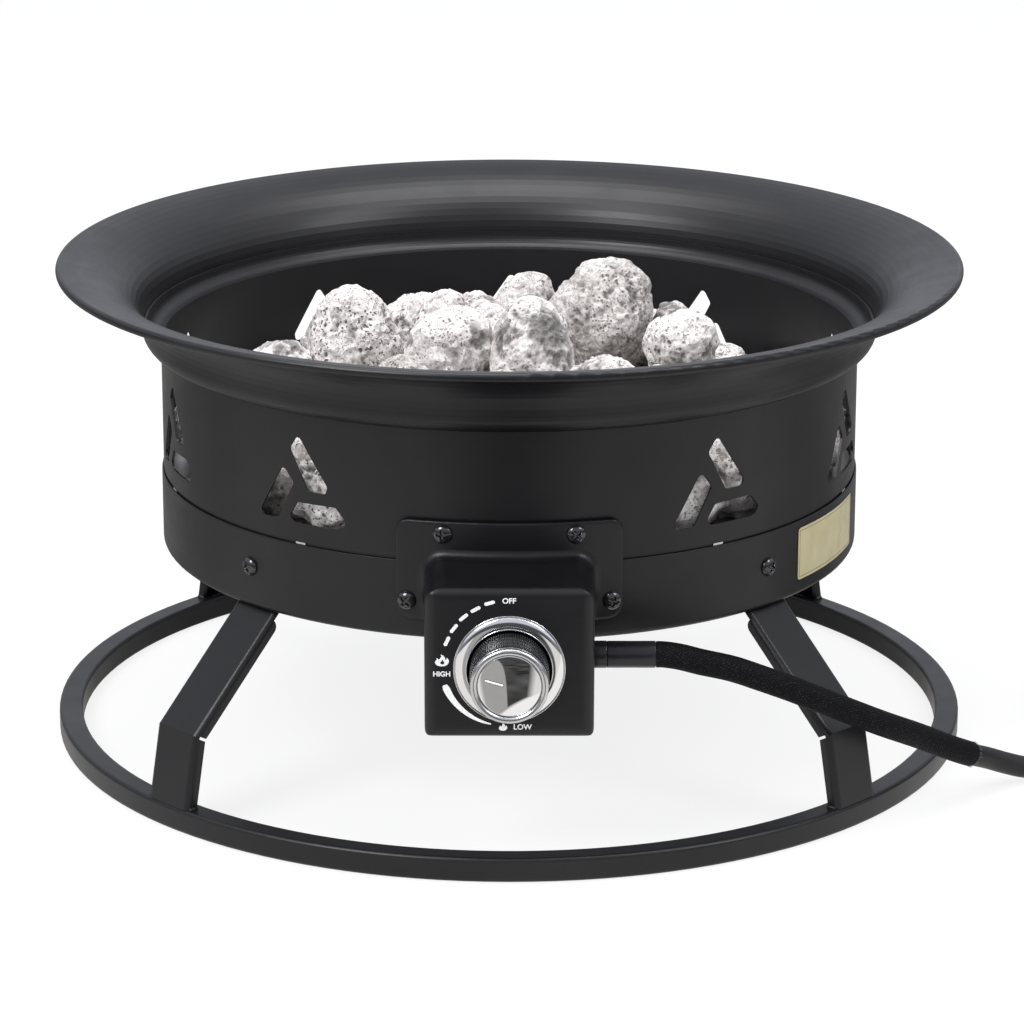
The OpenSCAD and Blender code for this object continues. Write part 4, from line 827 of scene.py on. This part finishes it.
def screw_heads(name, places):
    """Round heads with a cross recess. Places are (seat point in mm, outward axis, turn)."""
    verts, faces = [], []
    rows, seg = HEAD_RINGS + 1, HEAD_SIDES
    for seat, axis, turn in places:
        u, v, w = basis(axis)
        base = len(verts)
        for i in range(rows + 1):
            tilt = math.radians(90 * (1 - i / HEAD_RINGS))
            r = HEAD_R * math.cos(tilt) if i < rows else HEAD_R - 0.3
            for j in range(seg):
                a = 2 * math.pi * j / seg
                x, y = r * math.cos(a + turn), r * math.sin(a + turn)
                sunk = recess(x, y) * HEAD_H * (0.42 + 0.2 * max(0, 1 - math.hypot(x, y) / 2.6))
                high = HEAD_H * math.sin(tilt) - sunk if i < rows else -0.05
                verts.append((seat + u * r * math.cos(a) + v * r * math.sin(a) + w * high) * MM)
        for i in range(rows):
            for j in range(seg):
                k = (j + 1) % seg
                faces.append((base + i * seg + j, base + (i + 1) * seg + j,
                              base + (i + 1) * seg + k, base + i * seg + k))
    return sharpen(new_piece(name, verts, faces, "black_screw"), 50)


def screw_threads(name, places, length):
    """Threaded shanks behind the same places."""
    verts, faces = [], []
    rings = int(length / HALF_PITCH)
    for seat, axis, _ in places:
        u, v, w = basis(axis)
        faces += wrap_faces(len(verts), rings, SHANK_SIDES)
        for i in range(rings + 1):
            middle = seat - w * (length * i / rings)
            r = SHANK_R - (THREAD_DEEP if i % 2 else 0.0)
            for j in range(SHANK_SIDES):
                a = 2 * math.pi * j / SHANK_SIDES
                verts.append((middle + (u * math.cos(a) + v * math.sin(a)) * r) * MM)
        faces.append(tuple(range(len(verts) - SHANK_SIDES, len(verts))))
    new_piece(name, verts, faces, "zinc_steel")


def on_wall(angle, radius, z, turn):
    """A screw's place on a round wall; the angle runs from the front towards +X."""
    outward = Vector((math.sin(angle), -math.cos(angle), 0))
    return outward * (radius + 0.1) + Vector((0, 0, z)), outward, turn


PAN_SCREWS = ((45, 0.5), (135, 0.9), (225, 0.2), (315, 1.1))                 # degrees round, turn
BOX_SCREWS = ((-51.4, 126, 0.7), (51.4, 126, 0.25), (-33.2, 162, 0.05), (33.2, 162, 0.75))  # x, z, turn
pan_places = [on_wall(math.radians(az), PAN_R, 127.5, turn) for az, turn in PAN_SCREWS]
box_places = [on_wall(math.asin(x / FLANGE_OUT), FLANGE_OUT, z, turn) for x, z, turn in BOX_SCREWS]
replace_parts(screw_heads("pan_screw_heads", pan_places), "pan_screws")
screw_threads("pan_screw_threads", pan_places, PAN_R - WALL_IN + 4)
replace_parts(screw_heads("housing_screw_heads", box_places), "housing_screws")
screw_threads("housing_screw_threads", box_places, FLANGE_OUT - WALL_IN + 4)


# ---------- knob, bezel and dial ----------

def along_y(y):
    """A point of the knob's axis."""
    return Vector((0, y, KNOB_Z)) * MM


# bezel: a bulged chrome ring with a stepped rim and a thin raised lip round the well
profile = [(20.8, 0.1), (20.8, 2.85)] + arc_points(21.1, 2.75, 0.25, 150, 20, 4) + [(21.45, 2.35)]
quarter = [math.pi / 2 * i / 16 for i in range(17)]
profile += [(21.6 + 5.1 * math.sin(t), 0.75 + 1.95 * math.cos(t)) for t in quarter]
profile += [(26.75, 0.62)] + arc_points(27.2, 0.55, 0.3, 110, -20, 4) + [(27.5, 0.1), (20.8, 0.1)]
v, f = lathe(profile, along_y(FACE_Y), (0, -1, 0), 160)
bezel = sharpen(new_piece("dial_bezel_bulged", v, f, "chrome_trim"), 60)
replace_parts(bezel, "dial_bezel")

# grip: a knurled band of small squares on a smooth black sleeve, with its hub inside
GRIP_BACK = -235.0
SQUARES, SQUARE_SIDES, SQUARE_ROWS, ROW_STEPS, ROW_PITCH, KNURL_FROM = 100, 6, 5, 12, 4.28, 1.2
rows = [(17.1, 22.8), (17.1, 1.0), (17.4, 0.0), (18.4, 0.0)] + arc_points(18.4, 0.7, 0.7, -90, 0, 3)
first_band = len(rows)
rows += [(19.1, KNURL_FROM + ROW_PITCH * i / ROW_STEPS) for i in range(SQUARE_ROWS * ROW_STEPS)]
last_band = len(rows)
rows += [(19.0, 22.5), (18.9, 22.8), (18.4, 23.0), (17.4, 23.0)]


def square_wave(x):
    """1 on the middle of each unit step and 0 between, with short flanks."""
    return max(0.0, min(1.0, (0.34 - abs(x % 1.0 - 0.5)) / 0.07))


def knurl(a, row, h):
    """The little squares, for the rows of the band only."""
    if first_band <= row < last_band:
        round_it = square_wave(a / (2 * math.pi) * SQUARES)
        return 0.58 * round_it * square_wave((h - KNURL_FROM) / ROW_PITCH) - 0.20
    return 0.0


v, f = lathe(rows, along_y(GRIP_BACK), (0, -1, 0), SQUARES * SQUARE_SIDES, bump=knurl)
hub = [(4.1, 22.0), (4.1, 1.0), (6.4, 0.4), (7.0, 1.0), (7.0, 20.5), (17.1, 20.5)]
hv, hf = lathe(hub, along_y(GRIP_BACK), (0, -1, 0), 64)
off = len(v)
grip = sharpen(new_piece("knob_grip_knurled", v + hv, f + [tuple(i + off for i in q) for q in hf],
                         "black_plastic", body="knob"), 40)
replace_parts(grip, "knob_grip")

# cap: a round satin ring, a dark hairline, then a mirror dome with a pointer
CAP_Y = -258.02
ring = [(14.0, 0.0), (18.6, 0.0), (19.0, 0.25), (19.1, 0.6)]
ring += arc_points(17.45, 2.85, 1.65, 0, 180, 20) + [(15.8, 2.4), (15.2, 2.2)]
v, f = lathe(ring, along_y(CAP_Y), (0, -1, 0), 160)
sharpen(new_piece("knob_cap_ring", v, f, "chrome_trim", SATIN_CHROME, "knob"), 50)
DOME_R, DOME_LOW, DOME_TOP = 15.55, 3.25, 4.45


def dome_h(r):
    """The dome's height at a radius."""
    return DOME_TOP - (DOME_TOP - DOME_LOW) * (r / DOME_R) ** 2


dome = [(DOME_R, 2.3), (DOME_R, DOME_LOW - 0.1), (DOME_R - 0.05, DOME_LOW)]
dome += [(DOME_R * (1 - i / 24), dome_h(DOME_R * (1 - i / 24))) for i in range(1, 25)]
v, f = lathe(dome, along_y(CAP_Y), (0, -1, 0), 160)
cap_dome = new_piece("knob_cap_dome", v, f, "chrome_trim", MIRROR, "knob")
store(welded(cap_dome.data, 1e-6), cap_dome.data)
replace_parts(cap_dome, "knob_cap")


POINTER_ANGLE = math.radians(165)


def pointer(name, r0, r1, half, lift, material):
    """A low bar with round ends that follows the dome, from one radius to another."""
    d = Vector((math.cos(POINTER_ANGLE), 0, math.sin(POINTER_ANGLE)))
    side = Vector((-math.sin(POINTER_ANGLE), 0, math.cos(POINTER_ANGLE)))
    verts, faces = [], []
    long_steps, across = 40, 6
    for i in range(long_steps + 1):
        p = (r0 + r1) / 2 - (r1 - r0) / 2 * math.cos(math.pi * i / long_steps)
        to_end = min(p - r0, r1 - p)
        wide = math.sqrt(max(0.0004, half ** 2 - max(0.0, half - to_end) ** 2))
        for j in range(across + 1):
            t = 2 * j / across - 1
            h = dome_h(math.hypot(p, wide * t)) + lift * (1 - t ** 4) * min(1.0, wide / half * 1.2) - 0.02
            verts.append(along_y(CAP_Y) + (d * p + side * wide * t + Vector((0, -1, 0)) * h) * MM)
    row = across + 1
    for i in range(long_steps):
        for j in range(across):
            q = i * row + j
            faces.append((q, q + 1, q + row + 1, q + row))
    new_piece(name, verts, faces, "chrome_trim", material, "knob")


# the pointer is a slot in the dome: the black bar round it is painted shadow, and the white bar on it is a
# painted highlight of the slot's lit face
pointer("knob_pointer_painted_shadow", 2.7, 12.7, 0.95, 0.045, MATERIAL["black_plastic"])
pointer("knob_pointer", 3.0, 12.4, 0.58, 0.13, PRINT)


# ---------- dial marks ----------

# where the marks stand in the picture, in pixels
DASHES_PX = ((489.6, 603.2), (475.5, 609.5), (463.5, 617.4), (453.9, 628.5), (446.9, 641.3))
TAPER_WIDE_PX, TAPER_FINE_PX = (444.8, 685), (491, 724)
FLAME_HIGH_PX, FLAME_HEART_PX, FLAME_LOW_PX = (441.8, 660.5), (442.2, 662.0), (503, 727.0)
OFF_PX, HIGH_PX, LOW_PX = (509.2, 601.2), (441.7, 674.2), (522.5, 727.2)
INK_Y = FACE_Y - 0.02


def dial_flat(name, polys, thick=0.06, material=PRINT):
    """Flat inked shapes on the box's face; each is a list of (x, z) points in mm."""
    bm = bmesh.new()
    for pts in polys:
        low = [bm.verts.new((x * MM, INK_Y * MM, z * MM)) for x, z in pts]
        high = [bm.verts.new((x * MM, (INK_Y - thick) * MM, z * MM)) for x, z in pts]
        bm.faces.new(high)
        for i in range(len(pts)):
            j = (i + 1) % len(pts)
            bm.faces.new((low[i], low[j], high[j], high[i]))
    bmesh.ops.recalc_face_normals(bm, faces=bm.faces)
    mesh = bpy.data.meshes.new(name)
    store(bm, mesh)
    piece_of(name, mesh, "ceramic", material)


def face_xz(pixel):
    """The point (x, z) of the box's face that the picture shows at a pixel, in mm."""
    p = on_plane_y(*pixel, FACE_Y * MM)
    return p.x / MM, p.z / MM


def about_knob(pixel):
    """The same point as a radius and an angle round the knob's axis."""
    x, z = face_xz(pixel)
    return math.hypot(x, z - KNOB_Z), math.atan2(z - KNOB_Z, x) % (2 * math.pi)


def dash(pixel, half=2.7, r=0.88):
    """A short bar with round ends, square to the line from the knob."""
    x, z = face_xz(pixel)
    a = about_knob(pixel)[1] + math.pi / 2
    points = []
    for u, w in arc_points(half - r, 0, r, -90, 90, 6) + arc_points(r - half, 0, r, 90, 270, 6):
        points.append((x + math.cos(a) * u - math.sin(a) * w, z + math.sin(a) * u + math.cos(a) * w))
    return points


dial_flat("dial_dashes", [dash(pixel) for pixel in DASHES_PX])

(r0, a0), (r1, a1) = about_knob(TAPER_WIDE_PX), about_knob(TAPER_FINE_PX)
TAPER_STEPS = 32
outer, inner = [], []
for i in range(TAPER_STEPS + 1):
    k = i / TAPER_STEPS
    a, r = a0 + (a1 - a0) * k, r0 + (r1 - r0) * k
    w = (1.5 * (1 - k) ** 0.8 + 0.3) * min(1.0, 0.55 + 10 * k)
    outer.append(((r + w) * math.cos(a), KNOB_Z + (r + w) * math.sin(a)))
    inner.append(((r - w) * math.cos(a), KNOB_Z + (r - w) * math.sin(a)))
dial_flat("dial_taper", [outer + inner[::-1]])

FLAME = [(0.0, -1.0), (0.35, -0.96), (0.68, -0.72), (0.86, -0.3), (0.84, 0.12), (0.62, 0.5),
         (0.56, 0.22), (0.42, 0.06), (0.40, 0.46), (0.20, 0.82), (-0.12, 1.05), (-0.06, 0.66),
         (-0.22, 0.34), (-0.40, 0.10), (-0.48, 0.30), (-0.66, 0.42), (-0.62, 0.14), (-0.80, -0.10),
         (-0.84, -0.42), (-0.66, -0.78), (-0.34, -0.96)]


def flame(name, pixel, wide, tall, thick=0.06, material=PRINT):
    """A flame sign of that half width and half height."""
    x, z = face_xz(pixel)
    dial_flat(name, [[(x + p * wide, z + q * tall) for p, q in FLAME]], thick, material)


flame("dial_flame_high", FLAME_HIGH_PX, 4.0, 3.0)
flame("dial_flame_high_heart", FLAME_HEART_PX, 1.1, 1.3, 0.08, MATERIAL["powder_black"])
flame("dial_flame_low", FLAME_LOW_PX, 2.4, 1.9)


def word(name, text, pixel, height):
    """A plain generic word on the dial, with capitals of that height in mm."""
    curve = bpy.data.curves.new(name, "FONT")
    curve.body = text
    curve.align_x = "CENTER"
    curve.align_y = "CENTER"
    curve.size = height * 1.38 * MM
    curve.space_character = 1.02
    curve.offset = 0.10 * MM
    curve.extrude = 0.03 * MM
    obj = link(name, curve)
    x, z = face_xz(pixel)
    graph = bpy.context.evaluated_depsgraph_get()
    mesh = bpy.data.meshes.new_from_object(obj.evaluated_get(graph))
    bpy.data.objects.remove(obj)
    upright = Matrix.Rotation(math.pi / 2, 4, "X")
    mesh.transform(Matrix.Translation((x * MM, (FACE_Y - 0.05) * MM, z * MM)) @ upright)
    piece_of(name, mesh, "ceramic", PRINT)


word("dial_word_off", "OFF", OFF_PX, 2.75)
word("dial_word_high", "HIGH", HIGH_PX, 2.55)
word("dial_word_low", "LOW", LOW_PX, 2.75)


# ---------- foil patch ----------

ALONG, UPWARD = 40, 16
v, f, uv = [], [], []
for layer in (0, 1):
    for i in range(ALONG + 1):
        for j in range(UPWARD + 1):
            x, z = PATCH_LONG * i / ALONG, (PATCH_HIGH - PATCH_LOW) * j / UPWARD
            # a point in a corner square moves in to the corner's round
            cx = min(max(x, PATCH_CORNER), PATCH_LONG - PATCH_CORNER)
            cz = min(max(z, PATCH_CORNER), PATCH_HIGH - PATCH_LOW - PATCH_CORNER)
            dx, dz = x - cx, z - cz
            if dx and dz:
                shrink = max(abs(dx), abs(dz)) / math.hypot(dx, dz)
                x, z = cx + dx * shrink, cz + dz * shrink
            a = PATCH_FROM + x / PATCH_R
            ripple = 0.04 * noise.noise(Vector((x * 0.12, z * 0.2, 3))) - 0.05
            r = PATCH_R + layer * (PATCH_THICK + ripple)
            v.append(Vector((r * math.sin(a), -r * math.cos(a), PATCH_LOW + z)) * MM)
            uv.append((x * MM, z * MM))
row = UPWARD + 1
top = (ALONG + 1) * row
for i in range(ALONG):
    for a in range(i * row, i * row + UPWARD):
        f.append((a, a + 1, a + row + 1, a + row))
        f.append((top + a, top + a + row, top + a + row + 1, top + a + 1))
edge = [i * row for i in range(ALONG)] + [ALONG * row + j for j in range(UPWARD)]
edge += [i * row + UPWARD for i in range(ALONG, 0, -1)] + list(range(UPWARD, 0, -1))
for a, b in zip(edge, edge[1:] + edge[:1]):
    f.append((a, b, top + b, top + a))
patch = new_piece("foil_patch_blank", v, f, "pale_gold_foil", uvs=uv)
sharpen(patch, 40)
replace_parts(patch, "foil_patch")


# ---------- weld beads at the feet of the legs ----------

BEAD_STEPS, BEAD_SIDES = 18, 14
LEG_AZ = (46.5, 134.6, 225.0, 314.7)
LEG_R, RING_TOP = 245.5, 12.8


def bead(verts, faces, start, stop, r, seed):
    """A rippled weld bead from one point to another, in mm."""
    path = [start + (stop - start) * (i / BEAD_STEPS) for i in range(BEAD_STEPS + 1)]
    base = len(verts)
    faces += wrap_faces(base, BEAD_STEPS, BEAD_SIDES)
    for i, (p, (_, s, u)) in enumerate(zip(path, frames_along(path))):
        body = math.sin(math.pi * i / BEAD_STEPS) ** 0.35 if 0 < i < BEAD_STEPS else 0.05
        w = r * body * (1 + 0.16 * math.sin(i * 2.1 + seed)) * (1 + 0.15 * noise.noise(p * 0.6))
        for j in range(BEAD_SIDES):
            a = 2 * math.pi * j / BEAD_SIDES
            verts.append((p + (s * math.cos(a) + u * math.sin(a)) * w) * MM)
    faces.append(tuple(range(base, base + BEAD_SIDES))[::-1])
    faces.append(tuple(range(len(verts) - BEAD_SIDES, len(verts))))


v, f = [], []
for n, az in enumerate(LEG_AZ):
    a = math.radians(az)
    out = Vector((math.sin(a), -math.cos(a), 0))
    across = Vector((math.cos(a), math.sin(a), 0))
    for s in (-1, 1):
        c = out * (LEG_R - 4.2) + across * s * 15.2 + Vector((0, 0, RING_TOP))
        bead(v, f, c - out * 3.0, c + out * 2.6, 1.5, n * 3 + s)
    c = out * (LEG_R - 7.4) + Vector((0, 0, RING_TOP))
    bead(v, f, c - across * 9, c + across * 9, 1.1, n)
new_piece("leg_weld_beads", v, f, "powder_black")


# ---------- soft edges on the solids that stay ----------

EDGE_ROUND = 0.5
for name in ("leg_front_right", "leg_rear_right", "leg_rear_left", "leg_front_left",
             "regulator_body", "regulator_cover", "coupling_nut", "valve_body"):
    weld = NODES[name].modifiers.new("weld", "WELD")
    weld.merge_threshold = 2e-6
    edges = NODES[name].modifiers.new("edges", "BEVEL")
    edges.width = EDGE_ROUND * MM
    edges.segments = 2
    edges.limit_method = "ANGLE"
    edges.angle_limit = math.radians(38)
    flat = NODES[name].modifiers.new("flat faces", "WEIGHTED_NORMAL")
    flat.weight = 100


# ---------- floor, backdrop and light ----------

mesh = bpy.data.meshes.new("floor")
bm = bmesh.new()
bmesh.ops.create_grid(bm, x_segments=8, y_segments=8, size=9)
bmesh.ops.translate(bm, verts=bm.verts, vec=(0, 4, -0.0003))
store(bm, mesh)
floor = link("floor", mesh)


def pale_floor():
    """White to the eye, with the object's shadow; glossy surfaces see studio boards on it instead."""
    k = Look("pale floor", (0.86, 0.86, 0.86), 0.9, specular=0.0)
    k.color(k.between(k.noise(9, 3), 0.85, 0.87))
    ray = k.add("ShaderNodeLightPath")
    spot = k.add("ShaderNodeSeparateXYZ", {0: k.add("ShaderNodeNewGeometry").outputs["Position"]})
    x, y = spot.outputs[0], spot.outputs[1]
    # how far the spot lies in front of the dial, and its slope to either side of that
    ahead = k.most(k.times(k.plus(y, 0.26), -1.0), 0.02)
    swing = k.math("DIVIDE", x, ahead)
    behind = k.between(y, 1.0, 0.38, -0.10, 0.08)
    near = k.times(k.between(k.minus(ahead, k.times(swing, 0.22)), 1, 0, 0.15, 0.17), behind)
    right = k.times(k.between(swing, 0, 1, 0.20, 0.30), k.times(behind, 0.8))
    left = k.times(k.between(swing, 1, 0, -0.36, -0.26), k.times(behind, 0.9))
    board = k.times(k.between(k.plus(swing, k.times(ahead, 0.06)), 1, 0, -0.02, -0.005), 0.40)
    room = k.between(k.noise(6, 2), 0.02, 0.12)
    shine = k.most(k.most(near, right), k.most(left, k.most(board, room)))
    seen = k.add("ShaderNodeEmission", {"Color": (1, 1, 1, 1), "Strength": 1.0})
    mirrored = k.add("ShaderNodeEmission", {"Color": (1, 0.98, 0.96, 1), "Strength": shine})
    shown = k.add("ShaderNodeMixShader", {0: k.times(ray.outputs["Is Camera Ray"], 0.84),
                                          1: k.p.outputs[0], 2: seen.outputs[0]})
    final = k.add("ShaderNodeMixShader", {0: ray.outputs["Is Glossy Ray"],
                                          1: shown.outputs[0], 2: mirrored.outputs[0]})
    k.put(k.t.nodes["Material Output"].inputs[0], final.outputs[0])
    return k.m


mesh.materials.append(pale_floor())

world = bpy.data.worlds.new("studio")
bpy.context.scene.world = world
world.use_nodes = True
tree = world.node_tree


def world_node(kind, inputs, **props):
    """A node of the world, with sockets or plain values as its inputs."""
    n = tree.nodes.new(kind)
    for key, value in props.items():
        setattr(n, key, value)
    for key, value in inputs.items():
        if isinstance(value, bpy.types.NodeSocket):
            tree.links.new(value, n.inputs[key])
        else:
            n.inputs[key].default_value = value
    return n.outputs[0]


def world_ramp(value, from_min, from_max, to_min, to_max):
    return world_node("ShaderNodeMapRange", {
        "Value": value, "From Min": from_min, "From Max": from_max, "To Min": to_min, "To Max": to_max,
    }, interpolation_type="SMOOTHSTEP")


toward = tree.nodes.new("ShaderNodeSeparateXYZ")
tree.links.new(tree.nodes.new("ShaderNodeTexCoord").outputs["Generated"], toward.inputs[0])
high = world_ramp(toward.outputs[2], 0.16, 0.34, 0.09, 0.72)
aside = world_node("ShaderNodeMath", {0: toward.outputs[0]}, operation="ABSOLUTE")
flank = world_ramp(aside, 0.35, 0.8, 0.0, 0.16)
rear = world_ramp(toward.outputs[1], 0.74, 0.97, 0.0, 0.85)
sides = world_node("ShaderNodeMath", {0: high, 1: flank}, operation="ADD")
strength = world_node("ShaderNodeMath", {0: sides, 1: rear}, operation="MAXIMUM")
background = tree.nodes["Background"]
background.inputs["Color"].default_value = (0.90, 0.92, 1.0, 1)
tree.links.new(strength, background.inputs["Strength"])


def softbox(name, place, target, size, power):
    """A rectangular lamp that faces a point."""
    data = bpy.data.lights.new(name, "AREA")
    data.shape = "RECTANGLE"
    data.size, data.size_y = size
    data.energy = power
    obj = link(name, data)
    obj.location = place
    obj.rotation_mode = "QUATERNION"
    obj.rotation_quaternion = (Vector(target) - Vector(place)).to_track_quat("-Z", "Y")


softbox("key_left", (-1.5, -1.5, 2.2), (0, 0, 0.15), (1.1, 1.3), 56)
softbox("fill_right", (1.8, -0.9, 2.3), (0, 0, 0.15), (1.0, 1.2), 26)
softbox("top", (0, 0.3, 2.6), (0, 0, 0.2), (2.2, 1.6), 52)
